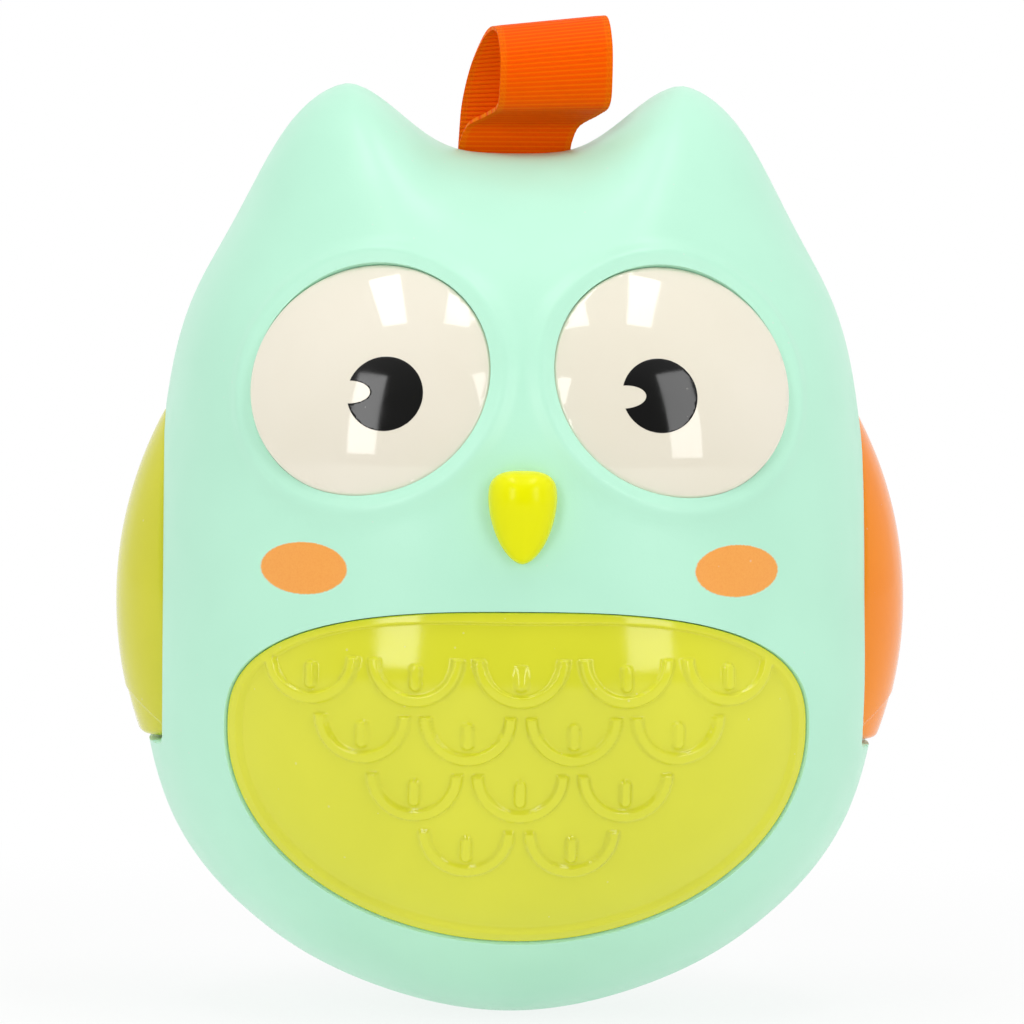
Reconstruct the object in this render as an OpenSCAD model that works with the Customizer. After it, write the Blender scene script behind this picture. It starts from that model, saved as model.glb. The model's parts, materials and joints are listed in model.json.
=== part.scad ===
/* [Body] */
// Width of the shell, without the wings
body_w = 131.6; // [128:0.2:134]
// Height from the foot to the ear tips
body_h = 165; // [161:1:170]
// Depth of the shell from front to back
body_d = 120; // [116:1:126]
// Fullness of the shell from front to back, where 2 is an ellipse
depth_power = 2.2; // [2:0.1:2.4]
// Height of the shell's centre, as a share of the height
waist_share = 0.4; // [0.39:0.005:0.42]
// Thickness of the moulded shell
wall = 2.2; // [1.8:0.1:2.6]
// Depth of the flat that makes the foot
foot_cut = 0.5; // [0.4:0.1:1]
// Angle of an ear tip round the outline, counted from the foot
ear_angle = 162.5; // [161:0.1:164]
// Spread of an ear on its outer side, in degrees
ear_outer_turn = 13; // [11:0.5:14]
// Spread of an ear on its inner side, in degrees
ear_inner_turn = 6.5; // [5.5:0.5:8]
// Turn towards the front or the back at which an ear has faded away
ear_fade_turn = 44; // [38:1:48]

/* [Eyes] */
// Distance between the two eye centres, as a share of the shell's width
eye_spacing_share = 0.411; // [0.405:0.001:0.417]
// Height of the eye centres, as a share of the shell's height
eye_height_share = 0.697; // [0.69:0.001:0.704]
// Radius of an eye's rim, as a share of the shell's width
eye_share = 0.161; // [0.155:0.001:0.162]
// Radius that the dome is curved to, as a share of the rim's radius
dome_share = 2.08; // [1.95:0.01:2.25]
// How far the top of the dome stands out of the shell
eye_proud = 2.4; // [2:0.1:2.5]
// Gap between an eye and its socket
eye_gap = 0.5; // [0.4:0.05:0.7]
// Wall of the dome
eye_wall = 1.8; // [1.4:0.1:2.2]
// Depth of the straight skirt behind the dome's rim
eye_skirt = 4.8; // [4.6:0.1:5.2]
// Radius of a pupil
pupil_r = 6.5; // [5.5:0.1:7.2]
// How far a pupil leans off the dome's top, in degrees
pupil_lean = 8; // [7:0.5:9.5]
// Which way a pupil leans, in degrees below the line to the beak
pupil_turn = 45; // [33:1:57]
// Thickness of a pupil's inlay
pupil_t = 0.5; // [0.4:0.1:0.8]
// Height of the notch in a pupil
notch_w = 4.1; // [3.4:0.1:4.6]
// Depth of the notch in a pupil
notch_d = 3.9; // [3.2:0.1:4.4]
// Radius of an eye's axle
axle_r = 1.5; // [1.2:0.1:1.8]
// Thickness of the plate behind an eye
eye_plate_t = 2; // [1.6:0.1:2.6]
// Radius of the weight inside an eye
eye_weight_r = 4; // [3:0.2:4.4]

/* [Beak] */
// Height of the beak's centre, as a share of the shell's height
beak_height_share = 0.548; // [0.54:0.001:0.556]
// Width of the beak
beak_w = 11.8; // [10:0.1:13]
// Length of the beak from brow to tip
beak_l = 16.2; // [14:0.1:18]
// How far the beak stands out of its seat
beak_proud = 6.4; // [5:0.1:7.5]
// Depth of the beak's seat in the shell
beak_seat = 1.1; // [0.9:0.1:1.4]
// Radius of the beak's peg
peg_r = 2.4; // [2:0.1:2.8]

/* [Belly] */
// Width of the belly panel, as a share of the shell's width
belly_share = 0.775; // [0.76:0.001:0.785]
// Height of the panel's widest line, as a share of the shell's height
belly_height_share = 0.319; // [0.312:0.001:0.326]
// Rise of the panel above its widest line, as a share of the shell's height
belly_up_share = 0.132; // [0.122:0.0005:0.138]
// Drop of the panel below its widest line, as a share of the shell's height
belly_down_share = 0.2265; // [0.216:0.0005:0.232]
// How far the panel's border lies below the shell's surface
belly_sink = 0.4; // [0.2:0.1:0.8]
// Height of the relief on the panel
relief = 0.8; // [0.5:0.1:1]
// Width of the raised border
border_w = 1.7; // [1.2:0.1:2.4]
// Gap between the panel and the shell
belly_gap = 0.25; // [0.2:0.05:0.5]
// Width of the flange behind the shell
flange_w = 3; // [2:0.2:3.6]
// Thickness of the flange
flange_t = 1.6; // [1.2:0.1:2.2]
// Radius of a feather in the relief
feather_r = 8.2; // [7:0.1:9]

/* [Wings] */
// How far a wing stands out of the shell's side
wing_proud = 4.7; // [4.2:0.1:5.6]
// Height of the wing's fullest point, as a share of the shell's height
wing_mid_share = 0.4425; // [0.43:0.0025:0.455]
// Radius that a wing is curved to, up and down
wing_arc = 70.5; // [66:0.5:76]
// Radius that a wing is curved to, front to back
wing_r = 22.5; // [21.5:0.1:24]
// Height of a wing's top, as a share of the shell's height
wing_top_share = 0.65; // [0.643:0.001:0.657]
// Height of a wing's widest line, as a share of the shell's height
wing_wide_share = 0.4; // [0.39:0.005:0.42]
// Height of a wing's bottom, as a share of the shell's height
wing_bottom_share = 0.296; // [0.286:0.001:0.308]
// Width of a wing, front to back
wing_w = 36; // [34:0.2:37]
// Wall of a wing
wing_wall = 1.7; // [1.4:0.1:2]
// Gap between a wing and its pocket
wing_gap = 1; // [0.9:0.05:1.2]
// Depth of the finger scoop at a wing's lower end
scoop_d = 0.4; // [0.3:0.1:0.9]
// Height of the scoop's top, as a share of the shell's height
scoop_share = 0.345; // [0.335:0.001:0.365]
// Depth of the flat land round a wing below the shell's side
land_in = 3.8; // [3:0.1:4]
// Depth of a wing's open back below the shell's side
wing_back_in = 8.8; // [8.4:0.1:9.4]
// Depth of the wing's hinge below the shell's side
hinge_in = 6.3; // [5.8:0.1:6.8]
// Depth of the pocket's floor below the shell's side
pocket_in = 15.8; // [14.8:0.2:16.8]
// Height of the wing's hinge, as a share of the shell's height
hinge_share = 0.594; // [0.588:0.001:0.6]
// Radius of the wing's hinge pin
hinge_r = 1.2; // [1:0.1:1.4]
// Length of the wing's knuckle on the pin
knuckle_l = 6; // [5:0.2:6.6]
// Thickness of a hinge ear
hinge_ear_t = 1.8; // [1.5:0.1:2]

/* [Ribbon] */
// Width of the ribbon
ribbon_w = 20; // [16:1:22]
// Thickness of the ribbon
ribbon_t = 0.9; // [0.6:0.1:1]
// Height of the loop above the crown
loop_h = 23.8; // [21:0.2:27]
// Depth of the loop, front to back
loop_d = 12.6; // [11:0.2:15]
// How far the loop leans sideways as it goes over
loop_skew = 7; // [4:0.2:8]
// Radius of the bar that holds the ribbon
bar_r = 1.6; // [1.3:0.1:2]
// Length of the bar
bar_l = 32; // [29:0.5:36]
// Depth of the bar below the crown
bar_drop = 8; // [7.4:0.1:9]

/* [Ballast and chime] */
// Radius of the ballast
ballast_r = 25; // [23:0.2:25.6]
// Height of the ballast
ballast_h = 13; // [10:0.5:14]
// Height of the pad that the ballast rests on
pad_z = 9; // [8.6:0.1:10]
// Radius of the pad
pad_r = 18; // [16:0.2:19]
// Distance between the ballast's two screws
ballast_pitch = 22; // [18:0.5:24]
// Thickness of the chime's base
chime_base_t = 2.4; // [2:0.1:3]
// Height of the clapper's pin above the chime's base
clapper_h = 44; // [42:0.5:46]
// Distance from the clapper's pin to its ball
clapper_l = 28; // [27:0.2:29]
// Radius of the clapper's ball
ball_r = 6.5; // [5.5:0.1:6.6]
// Radius of a chime rod
rod_r = 1.6; // [1.3:0.1:1.7]
// Distance of the chime rods from the clapper, side to side
rod_x = 16; // [15.8:0.1:17]
// Distance of the chime rods from the clapper, front to back
rod_y = 6; // [5.6:0.1:6.4]

/* [Screws] */
// Radius of a screw's shank
screw_r = 1.45; // [1.2:0.05:1.6]
// Length of a shell screw's shank
screw_l = 16; // [14:0.5:18]
// Radius of a screw's head
head_r = 2.8; // [2.4:0.1:3]
// Height of a screw's head
head_h = 2; // [1.6:0.1:2.4]
// Distance of the upper screws from the middle, as a share of the shell's width
upper_screw_share = 0.19; // [0.175:0.005:0.205]
// Height of the upper screws, as a share of the shell's height
upper_screw_height_share = 0.8485; // [0.842:0.0005:0.855]
// Distance of the lower screws from the middle, as a share of the shell's width
lower_screw_share = 0.327; // [0.322:0.001:0.334]
// Height of the lower screws, as a share of the shell's height
lower_screw_height_share = 0.164; // [0.158:0.001:0.17]

/* [Hidden] */
$fn = 64;

// Places and sizes that follow the shell
waist_z = waist_share * body_h;
eye_spacing = eye_spacing_share * body_w;
eye_z = eye_height_share * body_h;
eye_r = eye_share * body_w;
dome_r = dome_share * eye_r;
beak_z = beak_height_share * body_h;
belly_w = belly_share * body_w;
belly_z = belly_height_share * body_h;
belly_up = belly_up_share * body_h;
belly_down = belly_down_share * body_h;
wing_span = body_w + 2 * wing_proud;
wing_mid_z = wing_mid_share * body_h;
wing_top = wing_top_share * body_h;
wing_wide_z = wing_wide_share * body_h;
wing_bottom = wing_bottom_share * body_h;
scoop_top = scoop_share * body_h;
land_x = body_w / 2 - land_in;
wing_back_x = body_w / 2 - wing_back_in;
hinge_x = body_w / 2 - hinge_in;
pocket_x = body_w / 2 - pocket_in;
hinge_z = hinge_share * body_h;
upper_screw_x = upper_screw_share * body_w;
upper_screw_z = upper_screw_height_share * body_h;
lower_screw_x = lower_screw_share * body_w;
lower_screw_z = lower_screw_height_share * body_h;

// Extra length of every cut past the surface that it leaves
overrun = 1;
// Gap of a part that turns on a pin
run_fit = 0.05;
// Gap at the end of a part that turns
end_gap = 0.3;
// Gap between fixed parts that fit together
fit = 0.2;
// Step of the finite differences on the skin
probe = 0.1;

// Radius of the outline every twenty degrees from the foot, as shares of half the width
outline_shares = [1.01, 1.01, 1.03, 1.05, 1.03, 1.02, 1.12, 1.31, 1.36, 1.34];
ear_share = 0.24;
outline_last = len(outline_shares) - 1;
outline_step = 180 / outline_last;
coarse_turn = 8;
fine_turn = 4;
ear_start_turn = 140;
lat_turn = 9;
probe_turn = 0.5;
half_around = concat(
    [for (a = [0:coarse_turn:ear_start_turn - fine_turn]) a],
    [for (a = [ear_start_turn:fine_turn:180]) a]
);
around = concat(half_around, [for (i = [len(half_around) - 2:-1:1]) 360 - half_around[i]]);
lats = [for (t = [lat_turn - 90:lat_turn:90 - lat_turn]) t];

function share_at(i) = outline_shares[i < 0 ? -i : i > outline_last ? 2 * outline_last - i : i];

function spline(p, q, r, s, f) =
    q + f * (r - p) / 2 + f * f * (p - 5 * q / 2 + 2 * r - s / 2) + f * f * f * (3 * (q - r) + s - p) / 2;

function round_share(a) =
    let (s = a / outline_step, i = min(floor(s), outline_last - 1))
    spline(share_at(i - 1), share_at(i), share_at(i + 1), share_at(i + 2), s - i);

function ear_part(a, t) =
    let (
        spread = a < ear_angle ? ear_outer_turn : ear_inner_turn,
        fade = max(0, 1 - pow(t / ear_fade_turn, 2))
    )
    ear_share * exp(-pow((a - ear_angle) / spread, 2)) * fade * fade;

function half_angle(a) = a > 180 ? 360 - a : a;

function outline_share(a, t) = round_share(half_angle(a)) + ear_part(half_angle(a), t);

wide_share = max([for (a = [0:180]) round_share(a) * sin(a)]);
high_share = max([for (a = [90:180]) -outline_share(a, 0) * cos(a)]);
low_share = outline_shares[0];
side_unit = body_w / 2 / wide_share;
rise_unit = (body_h - waist_z) / high_share;
drop_unit = (waist_z + foot_cut) / low_share;
crown_z = waist_z + outline_share(180, 0) * rise_unit;

// A point of the skin at an angle round the outline and a turn towards the front
function skin(a, t) =
    let (
        r = outline_share(a, t) * pow(cos(t), 2 / depth_power),
        forward = sign(t) * pow(abs(sin(t)), 2 / depth_power),
        down = r * cos(a)
    )
    [r * sin(a) * side_unit, -body_d / 2 * forward, waist_z - down * (down > 0 ? drop_unit : rise_unit)];

function skin_normal(a, t) =
    let (
        across = skin(a + probe_turn, t) - skin(a - probe_turn, t),
        along = skin(a, t + probe_turn) - skin(a, t - probe_turn),
        n = cross(across, along)
    )
    n / norm(n);

// Depth of the front of the skin at a place on the face
function front_y(x, z) =
    let (
        down = (waist_z - z) / (z < waist_z ? drop_unit : rise_unit),
        side = abs(x) / side_unit,
        reach = norm([side, down]) / round_share(atan2(side, down))
    )
    -body_d / 2 * pow(max(0, 1 - pow(reach, depth_power)), 1 / depth_power);

function front_normal(x, z) =
    let (
        slope_x = (front_y(x + probe, z) - front_y(x - probe, z)) / (2 * probe),
        slope_z = (front_y(x, z + probe) - front_y(x, z - probe)) / (2 * probe),
        n = [slope_x, -1, slope_z]
    )
    n / norm(n);

function front_turn(x, z) =
    let (n = front_normal(x, z))
    [90 - asin(n[2]), 0, atan2(n[0], -n[1])];

// The closed body, with its skin moved inwards by a depth
module body(depth) {
    n = len(around);
    m = len(lats);
    rings = [for (t = lats) for (a = around) skin(a, t) - depth * skin_normal(a, t)];
    poles = [[0, depth - body_d / 2, waist_z], [0, body_d / 2 - depth, waist_z]];
    sides = [
        for (i = [0:m - 2]) for (j = [0:n - 1])
            let (k = (j + 1) % n, p = i * n, q = p + n)
                each [[p + j, q + k, p + k], [p + j, q + j, q + k]]
    ];
    front_cap = [for (j = [0:n - 1]) [(m - 1) * n + j, m * n, (m - 1) * n + (j + 1) % n]];
    back_cap = [for (j = [0:n - 1]) [j, (j + 1) % n, m * n + 1]];
    polyhedron(concat(rings, poles), concat(sides, front_cap, back_cap));
}

// Places children on the front of the skin, their Z axis pointing out of it and Y upwards
module on_front(x, z) {
    translate([x, front_y(x, z), z]) rotate(front_turn(x, z)) children();
}

module on_eye(side) {
    on_front(side * eye_spacing / 2, eye_z) children();
}

// Places children drawn for the right-hand side on either side
module on_side(side) {
    if (side > 0) {
        children();
    } else {
        mirror([1, 0, 0]) children();
    }
}

// Turns a plan drawn in X and Z into a column along Y, from one depth to another
module along_y(from, to) {
    translate([0, to, 0]) rotate([90, 0, 0]) linear_extrude(to - from) children();
}

module cross_rod(r, l) {
    rotate([90, 0, 0]) cylinder(r = r, h = l, center = true);
}

// Eye sizes, measured along the eye's own axis from the skin
dome_z = eye_proud - dome_r;
rim_z = dome_z + sqrt(dome_r * dome_r - eye_r * eye_r);
skirt_z = rim_z - eye_skirt;
socket_z = skirt_z - eye_gap;
socket_r = eye_r + eye_gap;
socket_wall = 1.5;
hub_r = 4;
axle_depth = 3;
bearing_l = 2.6;
plate_z = socket_z - fit - eye_plate_t;
bearing_z = plate_z - bearing_l;
clip_t = 0.8;
clip_r = 3.6;
axle_tail = 1.2;
eye_weight_at = eye_r - eye_wall - eye_weight_r - end_gap;

module pupil_plan() {
    difference() {
        circle(pupil_r);
        hull() {
            translate([notch_d - pupil_r - notch_w / 4, 0]) circle(notch_w / 4);
            translate([-pupil_r, 0]) square([notch_d / 8, notch_w], center = true);
        }
    }
}

module pupil_column(side) {
    lean_way = side < 0 ? -pupil_turn : 180 + pupil_turn;
    translate([0, 0, dome_z]) rotate([0, 0, lean_way]) rotate([0, pupil_lean, 0]) rotate([0, 0, -lean_way])
        linear_extrude(dome_r + overrun) pupil_plan();
}

module dome_ball(depth) {
    translate([0, 0, dome_z]) sphere(dome_r - depth);
}

module dome_plan(depth) {
    intersection() {
        translate([0, dome_z]) circle(dome_r - depth);
        translate([0, skirt_z]) square([eye_r - depth, eye_proud - skirt_z]);
    }
}

module eye(side) {
    color("ivory") on_eye(side) difference() {
        rotate_extrude() difference() {
            dome_plan(0);
            difference() {
                dome_plan(eye_wall);
                translate([0, skirt_z]) square([hub_r, eye_proud - skirt_z]);
            }
        }
        difference() {
            pupil_column(side);
            dome_ball(pupil_t);
        }
        translate([0, 0, skirt_z - overrun]) cylinder(r = axle_r, h = -axle_depth - skirt_z + overrun);
    }
}

module pupil(side) {
    color("black") on_eye(side) intersection() {
        pupil_column(side);
        difference() {
            dome_ball(0);
            dome_ball(pupil_t);
        }
    }
}

module eye_weight(side) {
    color("silver") on_eye(side) intersection() {
        translate([0, -eye_weight_at, skirt_z]) cylinder(r = eye_weight_r, h = eye_proud - skirt_z);
        dome_ball(eye_wall + fit / 4);
    }
}

module eye_axle(side) {
    tail_z = bearing_z - end_gap - clip_t - axle_tail;
    color("silver") on_eye(side) translate([0, 0, tail_z]) cylinder(r = axle_r, h = -axle_depth - tail_z);
}

module eye_clip(side) {
    color("gray") on_eye(side) translate([0, 0, bearing_z - end_gap - clip_t]) difference() {
        cylinder(r = clip_r, h = clip_t);
        translate([0, 0, -overrun]) cylinder(r = axle_r, h = clip_t + 2 * overrun);
    }
}

module eye_plate(side) {
    color("aquamarine") on_eye(side) difference() {
        union() {
            translate([0, 0, plate_z]) cylinder(r = socket_r + socket_wall, h = eye_plate_t);
            translate([0, 0, bearing_z]) cylinder(r = hub_r, h = bearing_l + eye_plate_t / 2);
        }
        translate([0, 0, bearing_z - overrun])
            cylinder(r = axle_r + run_fit, h = bearing_l + eye_plate_t + 2 * overrun);
    }
}

// Beak sizes in its own plan, with Y up and Z out of the skin
brow_r = beak_w / 4;
tip_r = beak_w / 5;
brow_x = beak_w / 2 - brow_r;
brow_y = beak_l / 2 - brow_r;
tip_y = tip_r - beak_l / 2;
ridge_r = beak_w / 3.4;
ridge_y = beak_l / 14;
peg_wall = 1.6;
peg_l = beak_seat + wall + peg_wall + clip_t + axle_tail;

module beak_spots() {
    for (s = [-1, 1]) translate([s * brow_x, brow_y]) children(0);
    translate([0, tip_y]) children(1);
}

module beak_plan(extra) {
    hull() beak_spots() {
        circle(brow_r + extra);
        circle(tip_r + extra);
    }
}

module beak() {
    color("gold") on_front(0, beak_z) translate([0, 0, -beak_seat]) {
        intersection() {
            hull() {
                beak_spots() {
                    sphere(brow_r, $fn = 32);
                    sphere(tip_r, $fn = 32);
                }
                translate([0, ridge_y, beak_proud + beak_seat - ridge_r]) sphere(ridge_r, $fn = 32);
            }
            linear_extrude(beak_proud + beak_seat) square([beak_w, beak_l], center = true);
        }
        translate([0, 0, beak_seat - peg_l]) cylinder(r = peg_r, h = peg_l - beak_seat);
    }
}

module beak_clip() {
    color("gray") on_front(0, beak_z) translate([0, 0, -beak_seat - wall - peg_wall]) difference() {
        cylinder(r = peg_r + peg_wall, h = clip_t);
        translate([0, 0, -overrun]) cylinder(r = peg_r, h = clip_t + 2 * overrun);
    }
}

// A point of an oval whose upper and lower halves have their own height and fullness
function oval_point(a, w, heights, powers) =
    let (half = a < 180 ? 0 : 1, p = 2 / powers[half])
    [sign(cos(a)) * pow(abs(cos(a)), p) * w, sign(sin(a)) * pow(abs(sin(a)), p) * heights[half]];

// Belly plan: a flattened arch above the widest line and half an ellipse below it
belly_turn = 6;
belly_powers = [2.7, 2];

module belly_plan(extra) {
    heights = [belly_up + extra, belly_down + extra];
    turns = [0:belly_turn:360 - belly_turn];
    half_w = belly_w / 2 + extra;
    translate([0, belly_z]) polygon([for (a = turns) oval_point(a, half_w, heights, belly_powers)]);
}

// A raised feather: half a band, round side down, with a quill
feather_band = 1.8;
quill_r = 0.9;
feather_rows = 4;
feather_fn = 20;
top_row = 5;
feather_pitch = 2 * feather_r + feather_band;
feather_drop = feather_r + feather_band;
feather_top = belly_z + belly_up + feather_band;

module feather() {
    difference() {
        circle(feather_r, $fn = feather_fn);
        circle(feather_r - feather_band, $fn = feather_fn);
        translate([-feather_r, 0]) square(2 * feather_r);
    }
    hull() {
        translate([0, -feather_band]) circle(quill_r, $fn = 8);
        translate([0, feather_band + 2 * quill_r - feather_r]) circle(quill_r / 2, $fn = 8);
    }
}

module feathers() {
    for (row = [1:feather_rows], i = [0:top_row - row])
        translate([(i - (top_row - row) / 2) * feather_pitch, feather_top - row * feather_drop]) feather();
}

// A column over a plan, cut off at a depth below the skin
module front_column(depth) {
    difference() {
        along_y(-body_d, 0) children();
        body(depth);
    }
}

module belly_panel() {
    flange_top = wall + fit;
    color("yellowgreen") difference() {
        intersection() {
            body(belly_sink);
            along_y(-body_d, 0) belly_plan(flange_w);
        }
        body(flange_top + flange_t);
        front_column(flange_top) difference() {
            belly_plan(flange_w + overrun);
            belly_plan(0);
        }
        front_column(belly_sink + relief) difference() {
            belly_plan(-border_w);
            feathers();
        }
    }
}

// Wing sizes in the plan of Y and Z: half an ellipse above the widest line, a squarish end below it
wing_turn = 7.5;
wing_powers = [2, 5];
wing_axis_x = wing_span / 2 - wing_r;
sweep_r = wing_top - hinge_z + wing_gap / 2;
collar_t = 1.8;
pocket_plate_t = 1.8;
knuckle_r = 2.6;
hinge_ear_y = knuckle_l / 2 + end_gap;
pin_l = 2 * (hinge_ear_y + hinge_ear_t);
stop_w = 6;
stop_h = 2;
scoop_r = 17;
land_step = 0.4;

module wing_plan(extra) {
    heights = [wing_top - wing_wide_z + extra, wing_wide_z - wing_bottom + extra];
    turns = [0:wing_turn:360 - wing_turn];
    half_w = wing_w / 2 + extra;
    translate([0, wing_wide_z]) polygon([for (a = turns) oval_point(a, half_w, heights, wing_powers)]);
}

module wing_column(from, extra) {
    translate([from, 0, 0]) rotate([90, 0, 90])
        linear_extrude(wing_span / 2 + overrun - from) wing_plan(extra);
}

module wing_barrel(depth) {
    translate([wing_axis_x, 0, wing_mid_z]) rotate_extrude() intersection() {
        translate([wing_r - wing_arc, 0]) circle(wing_arc - depth, $fn = 180);
        translate([0, -wing_top / 2]) square([wing_r, wing_top]);
    }
}

module wing_solid(depth, extra) {
    intersection() {
        wing_barrel(depth);
        wing_column(wing_back_x - (depth > 0 ? overrun : 0), extra);
    }
}

// The scoop is an arch cut shallowly into the wing's lower end
module wing_scoop() {
    difference() {
        translate([wing_back_x, 0, scoop_top - scoop_r]) rotate([0, 90, 0])
            cylinder(r = scoop_r, h = wing_span / 2);
        wing_barrel(scoop_d);
    }
}

module wing_web() {
    intersection() {
        wing_barrel(wing_wall / 2);
        translate([hinge_x, -knuckle_l / 2, hinge_z - knuckle_r])
            cube([wing_span / 2 - hinge_x, knuckle_l, 2 * knuckle_r]);
    }
}

module wing(side, shade) {
    color(shade) on_side(side) difference() {
        union() {
            difference() {
                wing_solid(0, 0);
                wing_solid(wing_wall, -wing_wall);
                wing_scoop();
            }
            translate([hinge_x, 0, hinge_z]) cross_rod(knuckle_r, knuckle_l);
            wing_web();
        }
        translate([hinge_x, 0, hinge_z]) cross_rod(hinge_r + run_fit, wing_w);
        difference() {
            translate([pocket_x, -wing_w / 2, hinge_z]) cube([wing_span / 2, wing_w, 2 * sweep_r]);
            translate([hinge_x, 0, hinge_z]) cross_rod(sweep_r, 2 * wing_w);
        }
    }
}

module wing_pin(side) {
    color("silver") on_side(side) translate([hinge_x, 0, hinge_z]) cross_rod(hinge_r, pin_l);
}

module wing_plate(side) {
    color("aquamarine") on_side(side) difference() {
        union() {
            translate([pocket_x - pocket_plate_t, 0, 0]) rotate([90, 0, 90])
                linear_extrude(pocket_plate_t) wing_plan(wing_gap + collar_t);
            for (s = [-1, 1]) translate([hinge_x, s * (hinge_ear_y + hinge_ear_t / 2), hinge_z]) {
                cross_rod(knuckle_r, hinge_ear_t);
                translate([pocket_x - hinge_x, -hinge_ear_t / 2, -knuckle_r])
                    cube([hinge_x - pocket_x, hinge_ear_t, 2 * knuckle_r]);
            }
            translate([pocket_x, -stop_w / 2, wing_bottom])
                cube([wing_back_x - end_gap - pocket_x, stop_w, stop_h]);
        }
        translate([hinge_x, 0, hinge_z]) cross_rod(hinge_r, pin_l + 2 * overrun);
    }
}

// Ribbon route: up from the bar, forwards round the loop and back down, closed under the bar
bar_z = crown_z - bar_drop;
layer_y = ribbon_t / 2 + fit;
wrap_r = bar_r + fit + ribbon_t / 2;
slot_y = layer_y + ribbon_t / 2 + end_gap;
slot_x = ribbon_w / 2 + end_gap;
rib_t = 2.4;
rib_x = bar_l / 2 - rib_t;
rib_h = 4;
wrap_turns = [-210:30:30];

// Places of the loop as shares of its depth, its height and its sideways lean
loop_shares = [
    [-0.1, 0.1, 0.05], [-0.16, 0.22, 0.25], [-0.42, 0.3, 0.7], [-0.74, 0.37, 0.95], [-0.87, 0.56, 1],
    [-0.76, 0.8, 1], [-0.42, 0.97, 0.9], [-0.05, 0.93, 0.65], [0.14, 0.7, 0.32], [0.15, 0.4, 0.1],
    [0.08, 0.12, 0.02]
];
route_knots = concat(
    [for (t = wrap_turns) [0, wrap_r * cos(t), bar_z + wrap_r * sin(t)]],
    [[0, layer_y, crown_z - wall], [0, layer_y, crown_z]],
    [for (i = [len(loop_shares) - 1:-1:0])
        let (s = loop_shares[i])
            [s[2] * loop_skew, s[0] * loop_d, crown_z + s[1] * loop_h]],
    [[0, -layer_y, crown_z], [0, -layer_y, crown_z - wall]]
);
route_steps = 3;
route_n = len(route_knots);

function knot(i) = route_knots[(i + route_n) % route_n];

route = [
    for (i = [0:route_n - 1]) for (f = [0:1 / route_steps:1 - 1 / (2 * route_steps)])
        spline(knot(i - 1), knot(i), knot(i + 1), knot(i + 2), f)
];

module ribbon_loop() {
    n = len(route);
    corners = [
        for (i = [0:n - 1])
            let (
                d = route[(i + 1) % n] - route[(i + n - 1) % n],
                out = [0, -d[2], d[1]] * ribbon_t / 2 / norm([d[1], d[2]]),
                across = [ribbon_w / 2, 0, 0],
                p = route[i]
            )
                each [p - across - out, p + across - out, p + across + out, p - across + out]
    ];
    faces = [
        for (i = [0:n - 1]) for (j = [0:3])
            let (p = 4 * i, q = 4 * ((i + 1) % n), k = (j + 1) % 4)
                each [[p + j, q + j, q + k], [p + j, q + k, p + k]]
    ];
    color("darkorange") polyhedron(corners, faces);
}

module ribbon_bar() {
    color("silver") translate([0, 0, bar_z]) rotate([0, 90, 0]) cylinder(r = bar_r, h = bar_l, center = true);
}

// Ballast and the chime that stands on it
cradle_t = 2;
cradle_h = 5;
ballast_top = pad_z + ballast_h;
base_top = ballast_top + chime_base_t;
ballast_screw_y = 9;
ballast_screw_places = [for (s = [-1, 1]) [s * ballast_pitch / 2, ballast_screw_y, base_top]];
ballast_screw_l = base_top - pad_z + pad_z / 2;
chime_base_r = norm([rod_x, rod_y]) + 2 * rod_r;
pin_z = base_top + clapper_h;
post_t = 3.5;
post_w = 6;
post_y = ball_r + 4 * end_gap;
clapper_tube_r = 3;
clapper_arm_r = 1.5;
clapper_pin_r = 1.2;
rod_shares = [0.62, 0.68, 0.74, 0.8];

module screw(shank_l) {
    difference() {
        union() {
            translate([0, 0, -shank_l]) cylinder(r = screw_r, h = shank_l);
            cylinder(r = head_r, h = head_h);
        }
        for (a = [0, 90]) rotate([0, 0, a]) translate([0, 0, head_h])
            cube([head_r, head_r / 4, head_h], center = true);
    }
}

module ballast() {
    color("dimgray") difference() {
        translate([0, 0, pad_z]) cylinder(r = ballast_r, h = ballast_h);
        for (p = ballast_screw_places)
            translate([p[0], p[1], pad_z - overrun]) cylinder(r = screw_r + fit, h = ballast_h + 2 * overrun);
    }
}

module ballast_screws() {
    color("silver") for (p = ballast_screw_places) translate(p) screw(ballast_screw_l);
}

module chime_frame() {
    color("white") difference() {
        union() {
            translate([0, 0, ballast_top]) cylinder(r = chime_base_r, h = chime_base_t);
            for (s = [-1, 1]) {
                translate([-post_w / 2, s * (post_y + post_t / 2) - post_t / 2, ballast_top])
                    cube([post_w, post_t, pin_z - ballast_top]);
                translate([0, s * (post_y + post_t / 2), pin_z]) cross_rod(post_w / 2, post_t);
            }
        }
        translate([0, 0, pin_z]) cross_rod(clapper_pin_r, 2 * (post_y + post_t + overrun));
        for (p = ballast_screw_places)
            translate([p[0], p[1], ballast_top - overrun])
                cylinder(r = screw_r + fit, h = chime_base_t + 2 * overrun);
        for (x = [-rod_x, rod_x], y = [-rod_y, rod_y])
            translate([x, y, ballast_top - overrun]) cylinder(r = rod_r, h = chime_base_t + 2 * overrun);
    }
}

module chime_rods() {
    color("silver") for (i = [0, 1], j = [0, 1])
        translate([(2 * i - 1) * rod_x, (2 * j - 1) * rod_y, ballast_top])
            cylinder(r = rod_r, h = chime_base_t + rod_shares[2 * i + j] * clapper_h);
}

module clapper() {
    color("silver") translate([0, 0, pin_z]) difference() {
        union() {
            cross_rod(clapper_tube_r, 2 * (post_y - end_gap));
            translate([0, 0, -clapper_l]) cylinder(r = clapper_arm_r, h = clapper_l);
            translate([0, 0, -clapper_l]) sphere(ball_r);
        }
        cross_rod(clapper_pin_r + run_fit, 2 * post_y);
    }
}

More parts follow.
